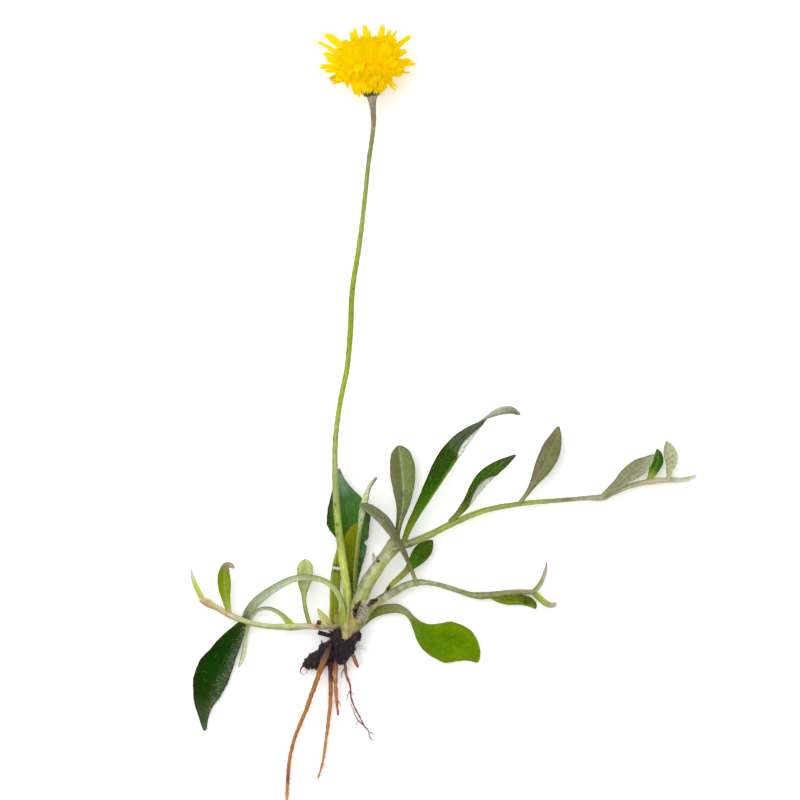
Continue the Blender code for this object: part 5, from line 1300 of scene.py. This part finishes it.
leaf(
    "leaf_young_pale",
    stations=[(81.3, 41.8, 2.1, 0.55), (81.5, 43.6, 2.4, 0.85), (81.9, 45.6, 2.6, 1.45),
              (81.7, 47.4, 2.6, 1.65), (81.2, 49.2, 2.5, 1.2), (80.7, 50.8, 2.3, 0.3)],
    upper=[(0, "a0b040"), (8, "6f9a3a")],
    under=[(0, "c8c690"), (3, "acb084"), (6, "a8ac84"), (9, "b8be98")],
    turn=180, round_tip=0.9, stalk_hairs=8,
    zones=[(2, 11, [(-1, "c8d0a0", 0.6), (-0.3, "b4ba8c", 0.3), (0.4, "8e9470", 0.5), (1, "7c8460", 0.6)])],
    shows=(0.05, 0.03, 0.03),
)
leaf(
    "leaf_upper_tip",
    stations=[(82.6, 41.0, 1.5, 0.65), (84.2, 41.0, 1.35, 0.52), (85.8, 41.2, 1.2, 0.55),
              (87.1, 41.6, 1.0, 0.4), (88.4, 42.1, 0.8, 0.12)],
    upper=[(0, "dcc0a8"), (1.5, "d8ccac"), (3, "ccd0b0"), (6, "d0d6ba")],
    under=[(0, "c8c4a4"), (6, "b9c4a0")],
    zones=[(1, 9, [(-1, "a8ae8c", 0.5), (0, "b8bc98", 0), (1, "e4e8d8", 0.5)])],
)
hairs_of_leaves("upper_runner", "leaf_underside", 76)


# The leaves of the left runner: a pale scale at its foot, a small spoon-shaped leaf that passes
# under the arched stalk, a narrow curled one, a bright one with a hooked brown tip and a last
# one at the growing end.
leaf(
    "leaf_scale",
    stations=[(-3.6, 4.7, 4.3, 0.8), (-4.4, 5.6, 4.7, 1.0), (-5.1, 6.6, 5.0, 0.95), (-5.8, 7.6, 5.2, 0.7),
              (-6.6, 9.0, 5.3, 0.15)],
    upper=[(0, "a89c4c"), (2, "c0b470"), (4, "cccc80"), (6, "c4cc84")],
    under=[(0, "c8c85a"), (5, "d3d894")],
    round_tip=0.5, foot=0.6, vein_gap=1.5,
    zones=[(0.5, 8, [(-1, "e0e4b0", 0.6), (0, "cccc80", 0), (1, "9c9c3c", 0.5)])],
    shows=(0.05, 0, 0),
)
leaf(
    "leaf_spoon",
    stations=[(-8.6, 5.0, 3.8, 0.5), (-9.1, 6.6, 4.0, 0.5), (-9.6, 8.6, 4.1, 0.5), (-9.9, 10.6, 4.1, 0.5),
              (-10.0, 12.6, 4.0, 0.7), (-9.95, 14.4, 3.9, 1.35), (-9.85, 16.3, 3.8, 1.85),
              (-9.75, 18.3, 3.6, 1.95), (-9.65, 19.8, 3.45, 1.85), (-9.6, 21.3, 3.3, 1.2)],
    upper=[(0, "8fa030"), (4, "86983c"), (8, "98a860"), (10, "aab478"), (13, "acb872"), (16, "bac678"),
           (18, "a8b464")],
    under=[(0, "8fa030"), (17, "a5b388")],
    fold=0.1, round_tip=2.4, foot=0.6, vein_gap=1.8, hairs=12, stalk_hairs=14,
    zones=[(0, 10, [(-1, "4c6418", 0.7), (0, "a0b060", 0.1), (1, "587020", 0.6)]),
           (10, 19, [(-1, "7c8c44", 0.7), (-0.7, "b4c07c", 0.3), (0, "a8b468", 0.2), (0.5, "ccd890", 0.5),
                     (1, "8c9c50", 0.6)])],
    shows=(0.25, 0.03, 0.03),
)
leaf(
    "leaf_curled",
    stations=[(-13.6, 5.2, 3.7, 0.85), (-14.6, 6.3, 3.75, 0.7), (-16, 7.6, 3.7, 0.55),
              (-17.6, 8.5, 3.6, 0.5), (-19.5, 8.9, 3.4, 0.45), (-21.6, 8.4, 3.1, 0.45),
              (-23.0, 7.1, 2.9, 0.5), (-23.85, 5.25, 2.33, 0.6), (-24.7, 1.6, 1.6, 0.45),
              (-25.05, -1.2, 0.9, 0.5), (-25.5, -3.6, 0.7, 0.5), (-26.5, -6.0, 0.6, 0.15)],
    upper=[(0, "a4b43c"), (3, "a0b050"), (6, "9ca470"), (10, "a4aa84"), (14, "989e74"), (17, "b0b070"),
           (20, "c0cea4"), (23, "ccdaac"), (25.5, "dccca8"), (27, "dcae90"), (29, "c8906c")],
    under=[(0, "a4bc50"), (12, "93a080"), (27, "c8c8a0")],
    foot=0.7, stalk_hairs=26,
    zones=[(2, 30, [(-1, "dce0bc", 0.5), (-0.3, "b4ba8c", 0.1), (0.4, "8c9664", 0.3), (1, "5c6c38", 0.7)])],
    shows=(0.05, 0, 0),
)
leaf(
    "leaf_hooked",
    stations=[(-28.8, 8.2, 3.4, 0.65), (-29.2, 9.8, 3.6, 0.85), (-29.6, 12.0, 3.7, 1.2),
              (-29.9, 14.4, 3.7, 1.6), (-30.0, 16.6, 3.75, 1.6), (-29.9, 18.2, 3.9, 1.3),
              (-29.3, 19.6, 4.4, 0.95), (-28.2, 19.7, 4.9, 0.65), (-27.4, 18.9, 5.0, 0.3)],
    upper=[(0, "c8a878"), (1.6, "a4a840"), (4, "8c9e1c"), (8, "788c08"), (10, "748408"), (11.3, "8a8440"),
           (12.4, "a49470"), (13.5, "b09078"), (15.5, "9c7c64")],
    under=[(0, "a4b040"), (15, "b4a484")],
    round_tip=0.6, foot=0.6, hairs=10,
    zones=[(1.5, 12, [(-1, "5c7004", 0.6), (-0.4, "748808", 0.3), (0.1, "889a28", 0.3),
                      (0.6, "8a9a30", 0.4), (1, "66780c", 0.5)])],
    spots=[(12.6, 0.4, 0.5, "6c5a50", 0.6)],
    shows=(0.2, 0.02, 0.02),
)
leaf(
    "leaf_left_tip",
    stations=[(-35.6, 11.3, 1.9, 0.6), (-36.4, 12.8, 1.85, 0.62), (-37.3, 14.8, 1.75, 0.52),
              (-38.0, 16.8, 1.65, 0.38), (-38.4, 18.9, 1.6, 0.1)],
    upper=[(0, "c8a470"), (1.6, "c4c454"), (3.5, "b8cc3c"), (5.5, "c0d070"), (7, "d8dcc0"), (9, "dcdccc")],
    under=[(0, "c8d060"), (8, "c8d2a8")],
    foot=0.7, stalk_hairs=12,
    zones=[(1, 9, [(-1, "a0b434", 0.5), (0, "bccc48", 0), (0.5, "d8e48c", 0.5), (1, "8ca030", 0.5)])],
    shows=(0.05, 0, 0),
)
hairs_of_leaves("left_runner", "leaf_pale", 77)


# The involucre is the cup under the bloom: two rings of narrow grey-green bracts with pale
# margins, black gland hairs and white hairs, growing up from the top of the stem.
HEAD_BASE = np.array([7.0, 136.5, 8.0])
HEAD_LEAN = math.radians(6)
CUP_PROFILE = [(0.1, 0), (1.1, 0), (1.7, 0.5), (2.2, 1.6), (2.8, 3.0), (3.1, 4.6), (3.0, 6.0), (0.1, 6.0)]
PRESSED_BELOW = 3.0
PRESSING = 0.52


def in_head(radius, azimuth, height):
    """Points of the bloom from r, azimuth in radians and h along its axis, which lies along +Y."""
    x, y, z = np.broadcast_arrays(radius * np.cos(azimuth), height, radius * np.sin(azimuth))
    cos, sin = math.cos(HEAD_LEAN), math.sin(HEAD_LEAN)
    return np.stack([x * cos - y * sin, x * sin + y * cos, z], axis=-1) + HEAD_BASE


def pressed(points):
    """Points with the lowest ones eased up, as the surface under the bloom presses them."""
    low = PRESSED_BELOW - (PRESSED_BELOW - points[..., 2]) * PRESSING
    points[..., 2] = np.where(points[..., 2] < PRESSED_BELOW, low, points[..., 2])
    keep_above(points, 0.05)
    return points


bract_skin, tree, shader, tint = plain("bract", 0.7)
toned = mottled(tree, tint, size=900.0, amount=0.8, flecks=0.6)
downy = use(tree, felt, {"Colour": toned["Colour"], "Felt": (*paint("c9c7ac"), 1), "Cover": 0.05})
tree.links.new(downy["Colour"], shader.inputs["Base Color"])
roughen(tree, shader, downy["Height"], strength=0.6, depth=0.00015)

profile = np.array(CUP_PROFILE)
CUP_COLUMNS = 36
turn = -np.linspace(0, 2 * np.pi, CUP_COLUMNS, endpoint=False)
cup_rings = in_head(profile[:, :1], turn[None], profile[:, 1:])[None]
cup = skin("involucre_cup", cup_rings, bract_skin, "bract", tint=all_over("2c2016", cup_rings))
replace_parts(cup, "involucre")

# The bracts stand in rings: how many, h of the foot and of the tip, half width, and how far they
# stand off the cup.
BRACT_COLUMNS = 9
BRACT_RINGS = [(13, 0.2, 2.6, 0.62, 0.05), (15, 0.7, 4.0, 0.66, 0.14), (15, 1.3, 5.4, 0.68, 0.1)]
draw = np.random.default_rng(11)
bracts = []
bract_tints = []
bract_out = []
for ring, (count, foot, tip, half_width, proud) in enumerate(BRACT_RINGS):
    t = np.linspace(0, 1, 16)[None, :, None]
    azimuth = np.arange(count) * 2 * np.pi / count + 0.3 * ring + draw.uniform(-0.07, 0.07, count)
    azimuth = azimuth[:, None, None]
    tips = (tip + draw.uniform(-0.5, 0.5, count))[:, None, None]
    height = foot + (tips - foot) * t
    radius = np.interp(height, profile[1:-1, 1], profile[1:-1, 0]) + proud
    radius = radius + 0.35 * t**3
    half = half_width * np.sqrt(1.02 - t**2.2) * (0.75 + 0.4 * np.sin(np.pi * t))
    s = np.linspace(-1, 1, BRACT_COLUMNS)[None, None]
    s = np.concatenate([s, s[..., ::-1]], axis=-1)
    face = np.repeat([[[1.0, -1.0]]], BRACT_COLUMNS, axis=2)
    swell = 0.16 * (1 - s**2) * np.where(face > 0, 1, -0.2) + 0.04 * face
    rings = in_head(radius + swell, azimuth - s * half / radius, height)
    bracts.append(rings)
    middle = np.exp(-((s / 0.5) ** 2)) * (1 - 0.3 * t)
    shade = middle[..., None] * paint("2e1e0c") + (1 - middle[..., None]) * paint("78603a")
    bract_tints.append(shade * draw.uniform(0.75, 1.2, (count, 1, 1, 1)) * np.ones(rings.shape))
    azimuths = azimuth + 0 * s
    bract_out.append(unit(in_head(radius + 1, azimuths, height + 0.3) - in_head(radius, azimuths, height)))
bract_rings = np.concatenate(bracts)
skin("bracts", bract_rings, bract_skin, "bract", tint=np.concatenate(bract_tints))
bract_rings = bract_rings[:, :, :BRACT_COLUMNS].reshape(-1, BRACT_COLUMNS, 3)
bract_out = np.concatenate(bract_out)[:, :, :BRACT_COLUMNS].reshape(-1, BRACT_COLUMNS, 3)
# Their white hairs and black gland hairs: number, least and most length, and radius.
WHITE_HAIRS = (160, 0.4, 1.3, 0.022)
GLAND_HAIRS = (260, 0.3, 0.8, 0.03)
fur("bract_hairs", "bract", [(bract_rings, bract_out, *WHITE_HAIRS)], code="dcd8c4", seed=12)
fur("bract_gland_hairs", "bract", [(bract_rings, bract_out, *GLAND_HAIRS)], code="17120c", seed=13)


# The bloom is a dense head of strap florets on one small disc. Each is a tube at its foot that
# opens into a flat strap with ragged teeth, pleated lengthwise. Those towards the sides spread
# wide, those above and below the axis stand steeply, and the lowest fold down over the cup.
# The straps also glow faintly in their own colour, with their base colour dimmed to match. This is a
# painted glow that stands in for light coming through the thin straps, and it lifts their shade.
PAINTED_GLOW_STRENGTH = 0.4
BASE_SHARE_UNDER_GLOW = 0.64
PLEAT_TURNS = 31.4
petal, tree, shader, tint = plain("floret", 0.6, Specular_IOR_Level=0.0, Emission_Strength=PAINTED_GLOW_STRENGTH)
toned = mottled(tree, tint, size=500.0, amount=0.25, flecks=0.2)
tree.links.new(toned["Colour"], shader.inputs["Emission Color"])
dimmed_under_glow = add(tree, "VectorMath", {0: toned["Colour"], "Scale": BASE_SHARE_UNDER_GLOW}, operation="SCALE").outputs[0]
pleat = add(tree, "Attribute", attribute_name="pleat").outputs["Fac"]
ribs = reckon(tree, "MULTIPLY", pleat, PLEAT_TURNS)
ribs = reckon(tree, "COSINE", ribs)
tree.links.new(dimmed_under_glow, shader.inputs["Base Color"])
roughen(tree, shader, ribs, strength=0.3, depth=0.00004)

# The long florets round the edge: azimuth, r and h of the tip, half width and colour.
EDGE_FLORETS = [
    (178, 12.4, 15.1, 0.5, "ffe41a"), (172, 10.7, 16.9, 0.8, "fdee22"), (166, 9.4, 16.6, 0.8, "fae61c"),
    (190, 11.4, 12.2, 0.7, "ffe010"), (176, 10.2, 13.4, 0.7, "ffe214"), (178, 12.7, 8.9, 0.8, "ffdc04"),
    (184, 10.6, 5.6, 0.8, "d8a41c"), (176, 11.3, 7.4, 0.6, "ffd800"), (160, 2.9, 17.6, 0.6, "ffe020"),
    (140, 4.6, 16.4, 0.7, "ffd80c"), (90, 0.5, 18.2, 0.75, "ffe028"), (60, 1.8, 16.8, 0.7, "ffd80c"),
    (20, 5.1, 17.5, 0.85, "ffe014"), (14, 4.3, 16.4, 0.7, "ffdc10"), (-12, 6.9, 16.6, 0.55, "ffdc0c"),
    (12, 8.4, 15.8, 0.35, "f0c000"), (6, 7.2, 15.0, 0.7, "ffd800"), (-5, 11.7, 14.3, 0.8, "ffd800"),
    (3, 10.6, 13.6, 0.65, "ffd400"), (4, 12.1, 7.0, 0.6, "fccc00"), (0, 10.9, 8.2, 0.7, "fccc00"),
    (-14, 10.4, 5.2, 0.32, "f0b800"), (2, 10.2, 10.6, 0.8, "fccf00"), (176, 10.8, 10.6, 0.8, "ffd800"),
    (8, 6.9, 1.7, 0.42, "fccc00"), (2, 6.2, 1.0, 0.36, "f4d000"), (174, 9.6, 4.4, 0.7, "f4c000"),
]
FILL_FLORETS = 240
DROOPING_FLORETS = 132
SPREAD_FRONT = 42
SPREAD_ASIDE = 50
GOLDEN_ANGLE = 2.39996

draw = np.random.default_rng(23)
kinds = []
for azimuth, radius, height, half, code in EDGE_FLORETS:
    kinds.append((math.radians(azimuth), radius, height, half, 0, 0, *paint(code)))
for number in range(FILL_FLORETS):
    azimuth = number * GOLDEN_ANGLE + draw.uniform(-0.1, 0.1)
    aside = abs(math.cos(azimuth))
    widest = math.radians(SPREAD_FRONT + SPREAD_ASIDE * aside**4)
    spread = widest * math.sqrt((number + 0.5) / FILL_FLORETS)
    shoulder = math.exp(-((spread - 0.62) / 0.25) ** 2)
    length = 9.6 + 2.6 * (1 - aside) * spread - 3.4 * math.sin(spread) ** 2 * aside
    length += 2.9 * shoulder * aside**2
    length += draw.uniform(-1.3, 0.6)
    # Paler lemon by chance and towards the left. The random share is the florets' own tone; the share
    # towards the left is painted light falling from the upper left.
    lemon_and_left_light = 0.5 * draw.random() + 0.5 * max(0, -math.cos(azimuth))
    colour = covered(paint("facb00"), paint("fee004"), lemon_and_left_light)
    reach = 2.6 * spread / widest + length * math.sin(spread)
    height = 4.9 + length * math.cos(spread)
    kinds.append((azimuth, reach, height, draw.uniform(0.75, 1.0), 0, draw.uniform(-0.3, 0.3), *colour))
for number in range(DROOPING_FLORETS):
    azimuth = (number + 0.6 * draw.random()) * 4 * math.pi / DROOPING_FLORETS
    to_left = max(0, -math.cos(azimuth))
    outer = number % 2
    # Paler lemon by chance and towards the left. The random share is the florets' own tone; the share
    # towards the left is painted light falling from the upper left.
    lemon_and_left_light = 0.4 * draw.random() + 0.6 * to_left
    colour = covered(paint("f8c500"), paint("ffe008"), lemon_and_left_light)
    lift = outer * draw.random()
    low = draw.uniform(0.4, 1.9) + 2.2 * outer + 1.8 * lift
    reach = 2.4 + 0.9 * (low - 0.8) + 0.9 * to_left + draw.uniform(0, 0.5)
    half = draw.uniform(0.62, 0.95)
    droops = 1 - 0.4 * draw.random() - 0.5 * lift
    kinds.append((azimuth, reach, low, half, droops, draw.uniform(-0.4, 0.4), *colour))


def bent(t, start, first, second, end):
    """The cubic curve from start to end that two points between pull towards themselves."""
    return (1 - t) ** 3 * start + 3 * t * (1 - t) ** 2 * first + 3 * t**2 * (1 - t) * second + t**3 * end


def straps(name, kinds, rows, lobes, tooth):
    """Florets, each a thin strap with that many teeth on a curved midline, in one piece.

    The midline rises from the mouth of the cup along the axis and then bends outward, as a
    cubic curve. The last row turns back inside the end, so that the teeth are open between
    them. Across the strap a point sits on an arc: nearly a closed tube at the foot and almost
    flat at the tip.
    """
    kinds = np.array(kinds)
    azimuth, reach, height, half, droops, twist = (kinds[:, i, None, None] for i in range(6))
    count = len(kinds)
    t = np.append(np.linspace(0, 1, rows - 1), 0.9)[None, :, None]
    root_r = np.where(droops > 0, 2.9, np.clip(reach * 0.3, 0.2, 2.6)) + 0.0 * t
    root_h = np.where(droops > 0, 8.6 - 4.4 * droops, 4.8 + 1.4 * (1 - root_r / 2.7))
    length = np.hypot(reach - root_r, height - root_h)
    first_r = root_r + np.where(droops > 0, 1.1, 0.12 * length)
    first_h = root_h + np.where(droops > 0, 1.0 + 0.2 * height, 0.42 * length)
    second_r = np.where(droops > 0, reach + 0.8, reach - 0.34 * (reach - root_r) - 0.2)
    second_h = np.where(droops > 0, height + 2.0, height - 0.18 * (height - root_h))
    midline_r = bent(t, root_r, first_r, second_r, reach)
    midline_h = bent(t, root_h, first_h, second_h, height)
    sway = draw.normal(size=(count, 1, 1)) * 0.06 * t**2
    middle = in_head(midline_r, azimuth + sway, midline_h)[:, :, 0]
    ahead = unit(np.gradient(middle, axis=1))
    ahead[:, -2:] = ahead[:, -3:-2]
    turning = -np.sin(azimuth)
    lean = (math.cos(HEAD_LEAN), math.sin(HEAD_LEAN))
    sideways = np.concatenate([turning * lean[0], turning * lean[1], np.cos(azimuth)], axis=-1)
    sideways = unit(sideways - (sideways * ahead).sum(axis=-1, keepdims=True) * ahead)
    inward = np.cross(sideways, ahead)

    # A strap that would stand on edge has twisted, so that most of them lie flat and face up.
    half_way = slice(rows // 2, rows // 2 + 1)
    flat_up = np.array([0, 0, 1.0]) - ahead[:, half_way, 2:] * ahead[:, half_way]
    flat_turn = np.arctan2(
        -(flat_up * sideways[:, half_way]).sum(axis=-1), (flat_up * inward[:, half_way]).sum(axis=-1)
    )[..., None]
    flat_turn = (flat_turn + np.pi / 2) % np.pi - np.pi / 2
    turned = (0.85 * flat_turn * (droops == 0) + twist) * np.clip(t * 2.2 - 0.2, 0, 1)
    side = sideways * np.cos(turned) + inward * np.sin(turned)
    face = inward * np.cos(turned) - sideways * np.sin(turned)

    s = np.linspace(-1, 1, 2 * lobes + 1)[None, None]
    flattest = np.radians(10 + 36 * draw.random((count, 1, 1)))
    arc = np.maximum(np.radians(150 - 140 * np.clip(t / 0.35, 0, 1) ** 0.7), flattest) + 0 * s
    wavy = 1 + 0.07 * np.sin(9 * t + 40 * azimuth) + 0.05 * np.sin(23 * t + 70 * azimuth)
    breadth = half * (0.45 + 0.55 * np.clip(t * 2.6, 0, 1)) * (1.04 - 0.24 * t**3) * wavy
    radius = breadth / arc
    angle = arc * s
    across = radius * np.sin(angle)
    deep = radius * (1 - np.cos(angle))
    at_end = np.clip((t - 0.88) * 8.4, 0, 1) ** 1.5
    at_end[:, -1] = 0
    ragged = draw.uniform(0.4, 1.6, (count, 1, 2 * lobes + 1))
    between = 0.5 - 0.5 * np.cos(np.pi * lobes * (s + 1))
    teeth = half * (tooth * (between * ragged - 0.8) - 0.3 * s**2) * at_end
    pleats = np.cos(lobes * np.pi * s)
    sheet = middle[:, :, None] + side[:, :, None] * across[..., None] + face[:, :, None] * deep[..., None]
    sheet = sheet + ahead[:, :, None] * teeth[..., None]
    sheet += face[:, :, None] * (0.035 * pleats * np.clip(t * 3 - 1, 0, 1) * half)[..., None]
    sheet += face[:, :, None] * (0.12 * np.sin(7 * t + 6 * azimuth) * t)[..., None]
    thinned = 0.05 * (1 - 0.7 * t**6)
    thinned[:, -1] = 0.005
    thick = face[:, :, None] * thinned[..., None]
    rings = pressed(np.concatenate([sheet + thick, (sheet - thick)[:, :, ::-1]], axis=2))

    round_s = np.broadcast_to(np.concatenate([s, s[..., ::-1]], axis=-1), rings.shape[:3])
    own = kinds[:, None, None, 6:]
    shade = own + (0.3 * t**3)[..., None] * (paint("fdee10") - own)
    # Painted shade: each strap is darker towards its foot, deep inside the head.
    shade = shade * (0.86 + 0.14 * np.clip(t * 1.6, 0, 1)[..., None])
    streak = 1 - 0.05 * (0.5 + 0.5 * np.cos(lobes * np.pi * round_s))
    tints = np.clip(shade * streak[..., None], 0, 1)
    return skin(name, rings, petal, "floret_yellow", tint=tints, pleat=round_s)


edges = len(EDGE_FLORETS)
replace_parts(straps("floret_straps", kinds[edges:], rows=7, lobes=3, tooth=1.2), "florets")
straps("floret_straps_of_edge", kinds[:edges], rows=14, lobes=5, tooth=1.7)

# A full cushion of florets' tubes and pappus fills the middle, so that no gap shows through.
CORE_PROFILE = [
    (0.1, 4.0), (2.4, 4.6), (3.2, 5.6), (3.9, 7.0), (4.4, 8.6), (4.5, 10.2), (3.6, 11.8), (0.1, 12.8),
]
core = np.array(CORE_PROFILE)
core_rings = pressed(in_head(core[:, :1], turn[None], core[:, 1:]))[None]
skin("floret_tubes", core_rings, petal, "floret_yellow",
     tint=all_over("f8c800", core_rings), pleat=np.zeros(core_rings.shape[:3]))

# The styles: a thread from each inner floret, split at its end into two curling arms.
STYLES = 50
azimuth = draw.uniform(0, 2 * np.pi, STYLES)
reach = 5.5 * np.sqrt(draw.random(STYLES))
foot = in_head(reach * 0.7, azimuth, 10.6 - 0.03 * reach**2)
aim = in_head(reach * 0.7 + 0.5 * reach / 6, azimuth, 12.5) - foot
ways = unit(aim + draw.normal(size=(STYLES, 3)) * 0.25)
long = draw.uniform(2.2, 3.6, STYLES)
fork = foot + ways * long[:, None]
split = unit(np.cross(ways, draw.normal(size=(STYLES, 3))))
styles = np.concatenate([
    strands(foot, ways, long * 1.05, 0.11, (0, 0, 0)),
    strands(fork - ways * 0.1, unit(ways + split), np.full(STYLES, 0.9), 0.08, split * 0.4),
    strands(fork - ways * 0.1, unit(ways - split), np.full(STYLES, 0.9), 0.08, split * -0.4),
])
skin("styles", pressed(styles), petal, "floret_yellow",
     tint=all_over("ffd400", styles), pleat=np.zeros(styles.shape[:3]))
